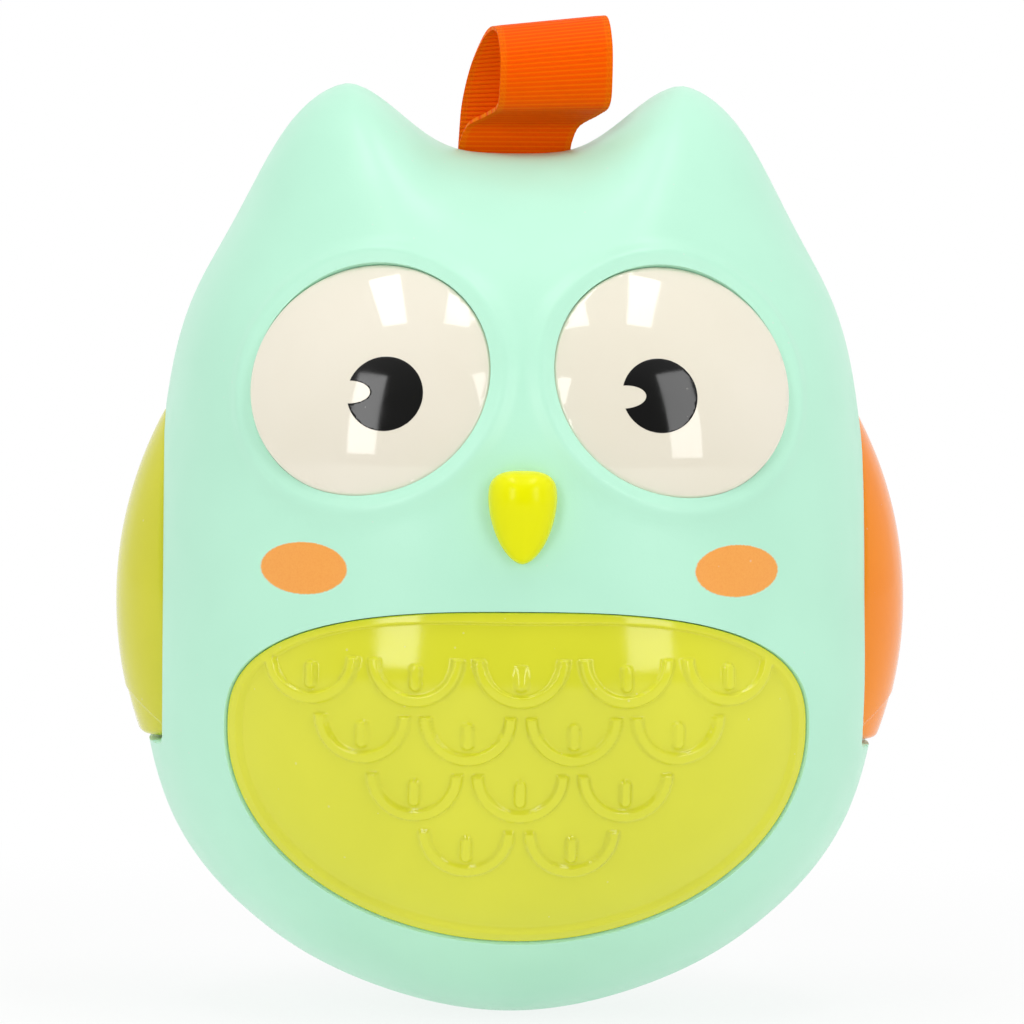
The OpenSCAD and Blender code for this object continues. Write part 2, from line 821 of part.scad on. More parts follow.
module clapper_pin() {
    color("silver") translate([0, 0, pin_z]) cross_rod(clapper_pin_r, 2 * (post_y + post_t));
}

// Shell screws run along Y from seats in the rear shell into bosses in the front one
boss_r = 4;
gusset_r = 0.9;
gusset_l = 9;
gusset_turns = [30, 150, 270];
shell_fn = 28;
seat_depth = 6;
screw_places = [
    for (s = [-1, 1]) [s * upper_screw_x, upper_screw_z],
    for (s = [-1, 1]) [s * lower_screw_x, lower_screw_z]
];

module shell_screws() {
    color("silver") for (p = screw_places)
        translate([p[0], seat_depth, p[1]]) rotate([-90, 0, 0]) screw(screw_l);
}

module boss_plan(p) {
    translate(p) {
        circle(boss_r);
        for (a = gusset_turns) hull() {
            circle(gusset_r, $fn = 16);
            translate(gusset_l * [cos(a), sin(a)]) circle(gusset_r, $fn = 16);
        }
    }
}

// What both halves of the shell share: the skin, pocket collars, bosses, ballast seat and ribbon ribs
module shell_core() {
    $fn = shell_fn;
    difference() {
        body(0);
        body(wall);
    }
    intersection() {
        body(0);
        for (side = [-1, 1]) on_side(side) wing_column(pocket_x + fit, wing_gap + collar_t);
    }
    difference() {
        intersection() {
            body(wall / 2);
            union() {
                for (p = screw_places) along_y(-body_d, body_d) boss_plan(p);
                cylinder(r = pad_r, h = pad_z);
                difference() {
                    cylinder(r = ballast_r + fit + cradle_t, h = pad_z + cradle_h);
                    cylinder(r = ballast_r + fit, h = pad_z + cradle_h + overrun);
                }
                for (s = [-1, 1]) translate([s * rib_x - rib_t / 2, -rib_h, bar_z - rib_h])
                    cube([rib_t, 2 * rib_h, bar_drop + rib_h]);
            }
        }
        front_column(wall + flange_t + 2 * fit) belly_plan(flange_w + fit);
        for (side = [-1, 1]) on_eye(side) translate([0, 0, plate_z - fit])
            cylinder(r = socket_r + socket_wall + fit, h = eye_plate_t + 2 * fit);
    }
}

module shell_cuts() {
    $fn = shell_fn;
    translate([-body_w, -body_d, -body_h]) cube([2 * body_w, 2 * body_d, body_h]);
    for (side = [-1, 1]) on_side(side) {
        wing_column(pocket_x - overrun, wing_gap);
        translate([land_x, -body_d, wing_bottom - wing_gap - land_step]) cube([body_w, 2 * body_d, body_h]);
    }
    translate([-slot_x, -slot_y, crown_z - rib_h]) cube([2 * slot_x, 2 * slot_y, 2 * rib_h]);
    translate([0, 0, bar_z]) rotate([0, 90, 0]) cylinder(r = bar_r + fit, h = bar_l + 2 * fit, center = true);
    for (p = screw_places) translate([p[0], 0, p[1]]) rotate([-90, 0, 0]) {
        translate([0, 0, seat_depth - screw_l - fit])
            cylinder(r = screw_r + fit, h = screw_l + overrun);
        translate([0, 0, seat_depth]) cylinder(r = head_r + fit, h = body_d);
    }
    for (p = ballast_screw_places)
        translate([p[0], p[1], base_top - ballast_screw_l - fit]) cylinder(r = screw_r + fit, h = base_top);
}

module front_half() {
    intersection() {
        translate([-body_w, -body_d, -body_h]) cube([2 * body_w, body_d, 3 * body_h]);
        children();
    }
}

module front_shell() {
    color("aquamarine") front_half() difference() {
        union() {
            shell_core();
            intersection() {
                body(0);
                for (side = [-1, 1]) on_eye(side) translate([0, 0, socket_z])
                    cylinder(r = socket_r + socket_wall, h = eye_proud - socket_z);
            }
            intersection() {
                body(0);
                on_front(0, beak_z) translate([0, 0, -beak_seat - wall])
                    cylinder(r = peg_r + peg_wall, h = beak_seat + wall);
            }
        }
        shell_cuts();
        along_y(-body_d, 0) belly_plan(belly_gap);
        for (side = [-1, 1]) on_eye(side) translate([0, 0, socket_z - overrun])
            cylinder(r = socket_r, h = eye_r - socket_z);
        on_front(0, beak_z) {
            translate([0, 0, -beak_seat]) linear_extrude(beak_proud) beak_plan(fit);
            translate([0, 0, -peg_l]) cylinder(r = peg_r + fit, h = peg_l);
        }
    }
}

module rear_shell() {
    color("aquamarine") mirror([0, 1, 0]) front_half() mirror([0, 1, 0]) difference() {
        shell_core();
        shell_cuts();
    }
}

front_shell();
rear_shell();
shell_screws();
belly_panel();
beak();
beak_clip();
eye(-1);  // left_eye
pupil(-1);  // left_pupil
eye_weight(-1);  // left_eye_weight
eye_axle(-1);  // left_eye_axle
eye_clip(-1);  // left_eye_clip
eye_plate(-1);  // left_eye_plate
eye(1);  // right_eye
pupil(1);  // right_pupil
eye_weight(1);  // right_eye_weight
eye_axle(1);  // right_eye_axle
eye_clip(1);  // right_eye_clip
eye_plate(1);  // right_eye_plate
wing(-1, "yellowgreen");  // left_wing
wing_pin(-1);  // left_wing_pin
wing_plate(-1);  // left_wing_plate
wing(1, "darkorange");  // right_wing
wing_pin(1);  // right_wing_pin
wing_plate(1);  // right_wing_plate
ribbon_loop();
ribbon_bar();
ballast();
ballast_screws();
chime_frame();
chime_rods();
clapper();
clapper_pin();
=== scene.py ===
import json
import math

import bpy
import numpy as np
from mathutils import Matrix, Vector, geometry, kdtree


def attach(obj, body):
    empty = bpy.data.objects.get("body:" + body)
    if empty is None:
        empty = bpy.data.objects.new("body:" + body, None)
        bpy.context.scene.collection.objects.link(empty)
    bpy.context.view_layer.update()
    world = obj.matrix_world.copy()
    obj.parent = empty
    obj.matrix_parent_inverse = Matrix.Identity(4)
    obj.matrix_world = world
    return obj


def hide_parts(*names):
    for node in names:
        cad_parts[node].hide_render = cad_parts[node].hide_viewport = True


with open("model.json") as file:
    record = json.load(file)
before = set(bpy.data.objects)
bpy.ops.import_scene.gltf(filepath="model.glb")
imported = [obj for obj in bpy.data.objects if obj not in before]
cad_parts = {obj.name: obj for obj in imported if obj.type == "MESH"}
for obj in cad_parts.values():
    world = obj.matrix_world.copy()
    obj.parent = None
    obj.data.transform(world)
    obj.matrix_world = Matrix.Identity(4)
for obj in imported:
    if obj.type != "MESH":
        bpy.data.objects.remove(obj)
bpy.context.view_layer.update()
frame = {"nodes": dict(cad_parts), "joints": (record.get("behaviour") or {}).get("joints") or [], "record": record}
joints = {joint["name"]: joint for joint in frame["joints"]}
mm = 0.001
sides = {"left": -1, "right": 1}
print("frame loaded:", len(frame["nodes"]), "nodes")


# small helpers for modelling by operator

def selectOnly(piece):
    bpy.ops.object.select_all(action="DESELECT")
    piece.select_set(True)
    bpy.context.view_layer.objects.active = piece


def editAll(piece, *steps):
    selectOnly(piece)
    bpy.ops.object.mode_set(mode="EDIT")
    bpy.ops.mesh.select_all(action="SELECT")
    for step in steps:
        step()
    bpy.ops.object.mode_set(mode="OBJECT")


def addModifier(piece, kind, **settings):
    modifier = piece.modifiers.new(kind.lower(), kind)
    for key, value in settings.items():
        setattr(modifier, key, value)
    selectOnly(piece)
    bpy.ops.object.modifier_apply(modifier=modifier.name)


def roundEdges(piece, width, segments, angle):
    addModifier(piece, "BEVEL", width=width * mm, segments=segments, limit_method="ANGLE",
                angle_limit=math.radians(angle), use_clamp_overlap=True)


def thicken(piece, thickness, offset=-1.0, group=""):
    addModifier(piece, "SOLIDIFY", thickness=thickness * mm, offset=offset, vertex_group=group, use_rim=True)


def weld():
    bpy.ops.mesh.remove_doubles(threshold=1e-6)


def faceOut():
    bpy.ops.mesh.normals_make_consistent(inside=False)


def smooth(piece, angle=None):
    selectOnly(piece)
    if angle is None:
        bpy.ops.object.shade_smooth()
    else:
        bpy.ops.object.shade_smooth_by_angle(angle=math.radians(angle))


def getPoints(piece):
    flat = np.empty(len(piece.data.vertices) * 3)
    piece.data.vertices.foreach_get("co", flat)
    return flat.reshape(-1, 3)


def setPoints(piece, points):
    piece.data.vertices.foreach_set("co", np.asarray(points, float).ravel())
    piece.data.update()


def addPrimitive(add, **settings):
    bpy.ops.object.select_all(action="DESELECT")
    add(**settings)
    return bpy.context.object


def newPiece(name, points, faces):
    mesh = bpy.data.meshes.new(name)
    mesh.from_pydata((points * mm).tolist(), [], faces)
    piece = bpy.data.objects.new(name, mesh)
    bpy.context.scene.collection.objects.link(piece)
    return piece


def treeOf(flat):
    tree = kdtree.KDTree(len(flat))
    for k, point in enumerate(flat):
        tree.insert((*point, 0), k)
    tree.balance()
    return tree


def addPiece(piece, name, body, slot, material, *nodes):
    piece.name = piece.data.name = name
    piece.data.materials.clear()
    piece.data.materials.append(material)
    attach(piece, body)
    if nodes:
        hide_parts(*nodes)
    print("made", name, len(piece.data.polygons), "faces")


def softStep(value, low, high):
    share = np.clip((value - low) / (high - low), 0, 1)
    return share * share * (3 - 2 * share)


# a smooth curve from q to r, with p before them and s after
def spline(p, q, r, s, f):
    return q + f * (r - p) / 2 + f**2 * (p - 2.5 * q + 2 * r - s / 2) + f**3 * (3 * (q - r) + s - p) / 2


# the body's form in millimetres and degrees: an outline seen from the front that swells to both sides
bodyForm = {
    "width": 131.6, "height": 165.0, "depth": 120.0, "fullness": 2.2, "waist": 66.0, "footCut": 0.5,
    "outline": [1.01, 1.01, 1.03, 1.05, 1.03, 1.02, 1.12, 1.31, 1.36, 1.34],
    "earSize": 0.24, "earAngle": 162.5, "earOuter": 13.0, "earInner": 6.5, "earFade": 44.0,
}
halfDepth = bodyForm["depth"] / 2


def outlineShare(turn, lean):
    turn = np.where(turn > 180, 360 - turn, turn)
    outline = bodyForm["outline"]
    knots = np.array([outline[1], *outline, outline[-2]])
    step = 180 / (len(outline) - 1)
    i = np.clip(turn // step, 0, len(outline) - 2).astype(int)
    f = turn / step - i
    even = spline(*(knots[i + k] for k in range(4)), f)
    spread = np.where(turn < bodyForm["earAngle"], bodyForm["earOuter"], bodyForm["earInner"])
    fade = np.clip(1 - (lean / bodyForm["earFade"])**2, 0, None)**2
    return even + bodyForm["earSize"] * np.exp(-((turn - bodyForm["earAngle"]) / spread)**2) * fade


degrees = np.arange(181.0)
widest = np.max(outlineShare(degrees, 90.0) * np.sin(np.radians(degrees)))
highest = np.max(-outlineShare(degrees, 0.0) * np.cos(np.radians(degrees)))
sideUnit = bodyForm["width"] / 2 / widest
riseUnit = (bodyForm["height"] - bodyForm["waist"]) / highest
dropUnit = (bodyForm["waist"] + bodyForm["footCut"]) / bodyForm["outline"][0]
crownZ = bodyForm["waist"] + float(outlineShare(np.array(180.0), 0.0)) * riseUnit


def skin(turn, lean):
    power = 2 / bodyForm["fullness"]
    reach = outlineShare(turn, lean) * np.abs(np.cos(np.radians(lean)))**power
    down = reach * np.cos(np.radians(turn))
    x = reach * np.sin(np.radians(turn)) * sideUnit
    y = -halfDepth * np.sign(lean) * np.abs(np.sin(np.radians(lean)))**power
    z = bodyForm["waist"] - down * np.where(down > 0, dropUnit, riseUnit)
    return np.stack([x, y, z], axis=-1)


def turnAndLean(points):
    x, y, z = points.T
    forward = np.clip(np.abs(y) / halfDepth, 0, 1)
    lean = np.degrees(np.arcsin(forward**(bodyForm["fullness"] / 2)))
    down = (bodyForm["waist"] - z) / np.where(z < bodyForm["waist"], dropUnit, riseUnit)
    side = x / sideUnit
    return np.degrees(np.arctan2(side, down)) % 360, lean, np.hypot(side, down)


# where lines from the points leave the body's form, by halving between low and high
def onSkin(points, direction, low=0.0, high=90.0, halvings=40):
    points, direction = np.asarray(points, float), np.asarray(direction, float)
    low, high = np.full(len(points), low), np.full(len(points), high)
    for _ in range(halvings):
        middle = (low + high) / 2
        here = points + middle[:, None] * direction
        turn, lean, reach = turnAndLean(here)
        excess = (reach / outlineShare(turn, lean))**bodyForm["fullness"]
        outside = excess + (np.abs(here[:, 1]) / halfDepth)**bodyForm["fullness"] > 1
        low, high = np.where(outside, low, middle), np.where(outside, middle, high)
    return points + high[:, None] * direction


# a half of the body laid flat: the middle of the face at the centre, the seam on a circle of 90 degrees
def toFlat(points):
    turn, lean, _ = turnAndLean(points)
    away = (90 - lean)[:, None]
    return away * np.stack([np.sin(np.radians(turn)), -np.cos(np.radians(turn))], axis=-1)


def fromFlat(flat):
    turn = np.degrees(np.arctan2(flat[:, 0], -flat[:, 1])) % 360
    return skin(turn, 90 - np.hypot(flat[:, 0], flat[:, 1]))


def flatNormal(flat, step=0.2):
    across = fromFlat(flat + [step, 0]) - fromFlat(flat - [step, 0])
    along = fromFlat(flat + [0, step]) - fromFlat(flat - [0, step])
    normal = np.cross(across, along)
    return normal / np.linalg.norm(normal, axis=1)[:, None]


def skinNormal(points):
    return flatNormal(toFlat(points))


def oval(angle, halfWidth, rise, drop, risePower, dropPower):
    c, s = np.cos(np.radians(angle)), np.sin(np.radians(angle))
    power = 2 / np.where(s >= 0, risePower, dropPower)
    across = np.sign(c) * np.abs(c)**power * halfWidth
    return across, np.sign(s) * np.abs(s)**power * np.where(s >= 0, rise, drop)


def insideOval(x, z, halfWidth, rise, drop, risePower, dropPower):
    power = np.where(z >= 0, risePower, dropPower)
    return (np.abs(x) / halfWidth)**power + (np.abs(z) / np.where(z >= 0, rise, drop))**power < 1


def evenly(curve, step, closed=True):
    path = np.vstack([curve, curve[:1]]) if closed else curve
    length = np.concatenate([[0], np.cumsum(np.linalg.norm(np.diff(path, axis=0), axis=1))])
    count = max(3, int(round(length[-1] / step)))
    at = np.linspace(0, length[-1], count + 1)[:-1 if closed else None]
    return np.stack([np.interp(at, length, path[:, k]) for k in range(3)], axis=-1)


# an eye's own axes: across, up and out of the face
def eyeAxes(side):
    joint = joints[side + "_eye_roll"]
    out = np.array(joint["axis"]) / np.linalg.norm(joint["axis"])
    across = np.array([-out[1], out[0], 0.0]) / math.hypot(out[0], out[1])
    return np.array(joint["pos_m"]) / mm, across, np.cross(out, across), out


def eyeMatrix(side):
    centre, across, up, out = eyeAxes(side)
    turned = Matrix((across, up, out)).transposed().to_4x4()
    return Matrix.Translation(Vector(centre) * mm) @ turned


# shader groups that several finishes share

def newGroup(name, inputs, outputs):
    group = bpy.data.node_groups.new(name, "ShaderNodeTree")
    for label, kind, value in inputs:
        socket = group.interface.new_socket(label, in_out="INPUT", socket_type=kind)
        if value is not None:
            socket.default_value = value
    for label, kind in outputs:
        group.interface.new_socket(label, in_out="OUTPUT", socket_type=kind)
    return group, group.nodes.new("NodeGroupInput"), group.nodes.new("NodeGroupOutput")


def addNode(tree, kind, links=(), **settings):
    node = tree.nodes.new(kind)
    for key, value in settings.items():
        setattr(node, key, value)
    for socket, value in dict(links).items():
        target = node.inputs[socket]
        if isinstance(value, bpy.types.NodeSocket):
            tree.links.new(value, target)
        else:
            target.default_value = value
    return node


def mathNode(tree, operation, *values):
    return addNode(tree, "ShaderNodeMath", dict(enumerate(values)), operation=operation).outputs[0]


def rangeNode(tree, value, low, high, toLow, toHigh):
    links = {"Value": value, "From Min": low, "From Max": high, "To Min": toLow, "To Max": toHigh}
    return addNode(tree, "ShaderNodeMapRange", links, interpolation_type="SMOOTHSTEP").outputs["Result"]


def noiseNode(tree, vector, scale, detail=2.0, roughness=0.5):
    links = {"Vector": vector, "Scale": scale, "Detail": detail, "Roughness": roughness}
    return addNode(tree, "ShaderNodeTexNoise", links).outputs["Fac"]


def mixNode(tree, share, first, second, blend="MIX"):
    node = tree.nodes.new("ShaderNodeMix")
    node.data_type, node.blend_type = "RGBA", blend
    for index, value in ((0, share), (6, first), (7, second)):
        if isinstance(value, bpy.types.NodeSocket):
            tree.links.new(value, node.inputs[index])
        else:
            node.inputs[index].default_value = value
    return node.outputs[2]


# moulded plastic: a fine spark-eroded grain, slow changes of tone and handled patches
def makeMouldGroup():
    group, start, end = newGroup(
        "mouldedSkin",
        [("Vector", "NodeSocketVector", None), ("Grain Scale", "NodeSocketFloat", 2600.0)],
        [("Height", "NodeSocketFloat"), ("Tone", "NodeSocketFloat"), ("Handling", "NodeSocketFloat")])
    vector = start.outputs["Vector"]
    fine = noiseNode(group, vector, start.outputs["Grain Scale"], 3.0, 0.55)
    slow = noiseNode(group, vector, 26.0, 3.0, 0.5)
    patches = noiseNode(group, vector, 90.0, 4.0, 0.6)
    group.links.new(fine, end.inputs["Height"])
    group.links.new(slow, end.inputs["Tone"])
    group.links.new(rangeNode(group, patches, 0.42, 0.68, 0.0, 1.0), end.inputs["Handling"])
    return group


# dust: sparse specks of different sizes
def makeDustGroup():
    group, start, end = newGroup(
        "fineDust",
        [("Vector", "NodeSocketVector", None), ("Scale", "NodeSocketFloat", 700.0)],
        [("Mask", "NodeSocketFloat")])
    cell = addNode(group, "ShaderNodeTexVoronoi",
                   {"Vector": start.outputs["Vector"], "Scale": start.outputs["Scale"]}, feature="F1")
    chance = addNode(group, "ShaderNodeSeparateColor", {"Color": cell.outputs["Color"]}).outputs[0]
    size = rangeNode(group, chance, 0.93, 1.0, 0.0, 0.16)
    speck = mathNode(group, "LESS_THAN", cell.outputs["Distance"], size)
    group.links.new(speck, end.inputs["Mask"])
    return group


mouldGroup = makeMouldGroup()
dustGroup = makeDustGroup()


def linear(red, green, blue):
    shares = []
    for value in (red, green, blue):
        share = value / 255
        shares.append(share / 12.92 if value <= 10 else ((share + 0.055) / 1.055)**2.4)
    return (*shares, 1.0)


def newMaterial(name):
    material = bpy.data.materials.new(name)
    material.use_nodes = True
    tree = material.node_tree
    shader = next(node for node in tree.nodes if node.type == "BSDF_PRINCIPLED")
    place = addNode(tree, "ShaderNodeTexCoord").outputs["Object"]
    return material, tree, shader, place


# what all the plastics share: the span of their slow change of tone, dust, and height of grain in millimetres
plasticBase = {"toneSpan": (0.3, 0.7), "dustColour": (236, 232, 222), "dustRough": 0.3, "grainHeight": 0.12}


def makePlastic(name, look):
    material, tree, shader, place = newMaterial(name)
    mould = addNode(tree, "ShaderNodeGroup", node_tree=mouldGroup)
    tree.links.new(place, mould.inputs["Vector"])
    mould.inputs["Grain Scale"].default_value = look["grain"]
    dust = addNode(tree, "ShaderNodeGroup", node_tree=dustGroup)
    tree.links.new(place, dust.inputs["Vector"])
    tone = rangeNode(tree, mould.outputs["Tone"], *plasticBase["toneSpan"], 0.0, 1.0)
    colour = mixNode(tree, tone, linear(*look["colour"]), linear(*look["other"]))
    if "paint" in look:
        colour = look["paint"](tree, place, colour)
    speckled = mathNode(tree, "MULTIPLY", dust.outputs["Mask"], look["dust"])
    colour = mixNode(tree, speckled, colour, linear(*plasticBase["dustColour"]))
    tree.links.new(colour, shader.inputs["Base Color"])
    roughest = look["rough"] + look["smear"]
    handled = rangeNode(tree, mould.outputs["Handling"], 0.0, 1.0, look["rough"], roughest)
    dusty = mathNode(tree, "MULTIPLY", speckled, plasticBase["dustRough"])
    tree.links.new(mathNode(tree, "ADD", handled, dusty), shader.inputs["Roughness"])
    grain = {"Height": mould.outputs["Height"], "Strength": look["bump"],
             "Distance": plasticBase["grainHeight"] * mm}
    bump = addNode(tree, "ShaderNodeBump", grain)
    tree.links.new(bump.outputs["Normal"], shader.inputs["Normal"])
    shader.inputs["Specular IOR Level"].default_value = look.get("shine", 0.5)
    shader.inputs["Coat Weight"].default_value = look.get("coat", 0.0)
    shader.inputs["Coat Roughness"].default_value = look.get("coatRough", 0.05)
    return material


# cheeks are pad printed on the face: ellipses as seen from the front, in metres
cheek = {
    "x": 0.0375, "z": 0.0813, "halfWidth": 0.0074, "halfHeight": 0.0045, "soft": 0.05, "ragged": 0.05,
    "raggedScale": 2400.0, "inkScale": 3200.0, "inkSpan": (0.35, 0.75),
    "colour": (249, 168, 74), "other": (246, 160, 68),
}


def paintCheeks(tree, place, colour):
    axes = addNode(tree, "ShaderNodeSeparateXYZ", {0: place})
    across = mathNode(tree, "SUBTRACT", mathNode(tree, "ABSOLUTE", axes.outputs["X"]), cheek["x"])
    across = mathNode(tree, "DIVIDE", across, cheek["halfWidth"])
    upward = mathNode(tree, "SUBTRACT", axes.outputs["Z"], cheek["z"])
    upward = mathNode(tree, "DIVIDE", upward, cheek["halfHeight"])
    squares = [mathNode(tree, "POWER", reach, 2.0) for reach in (across, upward)]
    away = mathNode(tree, "SQRT", mathNode(tree, "ADD", *squares))
    ragged = mathNode(tree, "MULTIPLY", noiseNode(tree, place, cheek["raggedScale"]), cheek["ragged"])
    mask = rangeNode(tree, mathNode(tree, "ADD", away, ragged), 1.0, 1.0 + cheek["soft"], 1.0, 0.0)
    tone = rangeNode(tree, noiseNode(tree, place, cheek["inkScale"]), *cheek["inkSpan"], 0.0, 1.0)
    ink = mixNode(tree, tone, linear(*cheek["colour"]), linear(*cheek["other"]))
    return mixNode(tree, mask, colour, ink)


mint = {"colour": (189, 243, 216), "other": (184, 238, 211), "rough": 0.34, "smear": 0.07, "grain": 2600.0,
        "bump": 0.10, "dust": 0.25}
panelGloss = {"smear": 0.05, "grain": 1500.0, "bump": 0.03, "dust": 0.2}
eyeGloss = {"smear": 0.03, "grain": 1200.0, "bump": 0.012, "dust": 0.12}
plasticLooks = {
    "mintFront": {**mint, "paint": paintCheeks},
    "mintRear": mint,
    "mintLiner": {"colour": (172, 222, 196), "other": (164, 214, 188), "rough": 0.45, "smear": 0.08,
                  "grain": 2000.0, "bump": 0.15, "dust": 0.3},
    "limeBelly": {**panelGloss, "colour": (226, 226, 54), "other": (219, 220, 50), "rough": 0.10},
    "limeWing": {**panelGloss, "colour": (218, 215, 50), "other": (210, 208, 48), "rough": 0.12,
                 "shine": 0.4},
    "orangeWing": {**panelGloss, "colour": (255, 147, 16), "other": (251, 140, 14), "rough": 0.12,
                   "shine": 0.4},
    "beakYellow": {"colour": (236, 236, 0), "other": (230, 231, 2), "rough": 0.20, "smear": 0.06,
                   "grain": 1800.0, "bump": 0.05, "dust": 0.2, "shine": 0.15},
    "eyeCream": {**eyeGloss, "colour": (238, 231, 214), "other": (234, 227, 208), "rough": 0.06,
                 "coat": 0.3, "coatRough": 0.03},
    "pupilBlack": {**eyeGloss, "colour": (20, 20, 19), "other": (15, 15, 15), "rough": 0.07},
    "greyClip": {"colour": (146, 150, 152), "other": (134, 138, 141), "rough": 0.42, "smear": 0.08,
                 "grain": 2200.0, "bump": 0.12, "dust": 0.2},
    "whiteChime": {"colour": (232, 232, 228), "other": (224, 225, 222), "rough": 0.4, "smear": 0.08,
                   "grain": 2200.0, "bump": 0.1, "dust": 0.1},
}
plastics = {name: makePlastic(name, look) for name, look in plasticLooks.items()}


metalLooks = {
    "steelBright": {"colour": (206, 208, 210), "other": (184, 187, 190), "rough": 0.2, "smear": 0.14,
                    "grain": (900, 900, 5200), "bump": 0.06, "grainHeight": 0.1, "metallic": 1.0},
    "ironCast": {"colour": (62, 62, 64), "other": (46, 46, 49), "rough": 0.55, "smear": 0.14,
                 "grain": (900, 900, 900), "bump": 0.5, "grainHeight": 0.1, "metallic": 0.6},
}


def makeMetal(name, look):
    material, tree, shader, place = newMaterial(name)
    stretched = addNode(tree, "ShaderNodeMapping", {"Vector": place, "Scale": look["grain"]}).outputs[0]
    grain = noiseNode(tree, stretched, 1.0, 4.0, 0.6)
    colour = mixNode(tree, grain, linear(*look["colour"]), linear(*look["other"]))
    tree.links.new(colour, shader.inputs["Base Color"])
    roughest = look["rough"] + look["smear"]
    tree.links.new(rangeNode(tree, grain, 0.25, 0.75, look["rough"], roughest), shader.inputs["Roughness"])
    height = {"Height": grain, "Strength": look["bump"], "Distance": look["grainHeight"] * mm}
    bump = addNode(tree, "ShaderNodeBump", height)
    tree.links.new(bump.outputs["Normal"], shader.inputs["Normal"])
    shader.inputs["Metallic"].default_value = look["metallic"]
    return material


metals = {name: makeMetal(name, look) for name, look in metalLooks.items()}


# shells: each half is a flat net of triangles with its openings drawn in, folded on to the body's form
shells = {
    "spacing": 1.05, "wall": 2.2, "thinShare": 0.1, "edgeRound": 0.35, "edgeAngle": 42, "smoothAngle": 60,
    "seamGap": 0.05, "socketRadius": 21.55, "socketDepth": 6.4, "socketTrim": 0.999,
    "rimHeight": 0.8, "rimPeak": 2.4, "rimSpread": 1.5, "bellyDepth": 3.0, "slotX": 10.3, "slotY": 1.4,
    "slotFromZ": 100.0, "crownFromZ": 140.0, "flankFromX": 45.0,
    "screwRadius": 3.0, "screwFloor": 8.2, "screwTrim": 0.997, "screws": [(25.0, 140.0), (43.03, 27.06)],
    # how far outside each opening its rings of points run
    "rings": {"screw": (0.5, 1.2, 2.0), "socket": (0.5, 1.0, 1.6, 2.3, 3.1, 4.0, 5.0),
              "belly": (0.5, 1.1, 1.8), "pocket": (0.5, 1.1), "ledge": (0.01, 0.48), "slot": (0.5,)},
    "steps": {"screw": 0.5, "socket": 0.5, "belly": 0.7, "pocket": 0.6, "slot": 0.5}, "ringStep": 1.2,
}
bellyPlan = {"halfWidth": 50.99, "rise": 21.78, "drop": 37.37, "z": 52.63, "gap": 0.12, "powers": (2.7, 2.0)}
wingPlan = {"halfWidth": 18.0, "rise": 41.25, "drop": 17.16, "z": 66.0, "gap": 0.5, "powers": (2.0, 5.0),
            "landX": 62.0, "landTop": 104.5, "landSlope": 8.0, "ledgeReach": 24.0, "floorX": 50.3}


def planOval(plan, angle, extra):
    sizes = [plan[key] + extra for key in ("halfWidth", "rise", "drop")]
    across, upward = oval(angle, *sizes, *plan["powers"])
    return across, upward + plan["z"]


def inPlan(plan, across, upward, extra):
    sizes = [plan[key] + extra for key in ("halfWidth", "rise", "drop")]
    return insideOval(across, upward - plan["z"], *sizes, *plan["powers"])


manyAngles = np.linspace(0, 360, 1441)[:-1]


def socketCurve(side, radius):
    centre, across, up, out = eyeAxes(side)
    c, s = np.cos(np.radians(manyAngles))[:, None], np.sin(np.radians(manyAngles))[:, None]
    return onSkin(centre + radius * (c * across + s * up), out, -30.0, 20.0)


def bellyCurve(extra):
    x, z = planOval(bellyPlan, manyAngles, extra)
    return onSkin(np.stack([x, 0 * x, z], axis=-1), (0, -1, 0))


# the half of a pocket on one side of the seam, drawn the same way round on both sides of the body
def pocketCurve(side, back, extra):
    half = np.linspace(90, 270, 721)[::side]
    y, z = planOval(wingPlan, half, extra)
    y[0] = y[-1] = 0
    return onSkin(np.stack([0 * y, -y if back else y, z], axis=-1), (side, 0, 0))


def screwCurve(x, z, radius):
    c, s = np.cos(np.radians(manyAngles)), np.sin(np.radians(manyAngles))
    return onSkin(np.stack([x + radius * c, 0 * c, z + radius * s], axis=-1), (0, 1, 0))


def slotCurve(back, extra):
    y = (shells["slotY"] + extra) * (1 if back else -1)
    x, z = shells["slotX"] + extra, shells["slotFromZ"]
    corners = np.array([[-x, 0, z], [-x, y, z], [x, y, z], [x, 0, z]])
    return onSkin(evenly(corners, 0.4, closed=False), (0, 0, 1))


# the edge of the flat land round a wing
def landCurve(side, back):
    z = np.linspace(wingPlan["z"] - wingPlan["drop"] - 1, wingPlan["landTop"], 120)
    reach = np.abs(onSkin(np.stack([0 * z, 0 * z, z], axis=-1), (1, 0, 0))[:, 0])
    share = np.clip(1 - (wingPlan["landX"] / reach)**bodyForm["fullness"], 0, None)
    y = halfDepth * share**(1 / bodyForm["fullness"])
    y, z = y[share > 0], z[share > 0]
    return onSkin(np.stack([0 * y, y if back else -y, z], axis=-1), (side, 0, 0))


# the ledge under a wing, where the land steps out to the skin again
ledgeZ = wingPlan["z"] - wingPlan["drop"] - wingPlan["gap"]


def ledgeCurve(side, back, z):
    y = np.linspace(0, wingPlan["ledgeReach"], 60)
    return onSkin(np.stack([0 * y, y if back else -y, 0 * y + z], axis=-1), (side, 0, 0))


def awayFromEye(side, points):
    centre, _, _, out = eyeAxes(side)
    reach = points - centre
    return np.linalg.norm(reach - (reach @ out)[:, None] * out, axis=1)


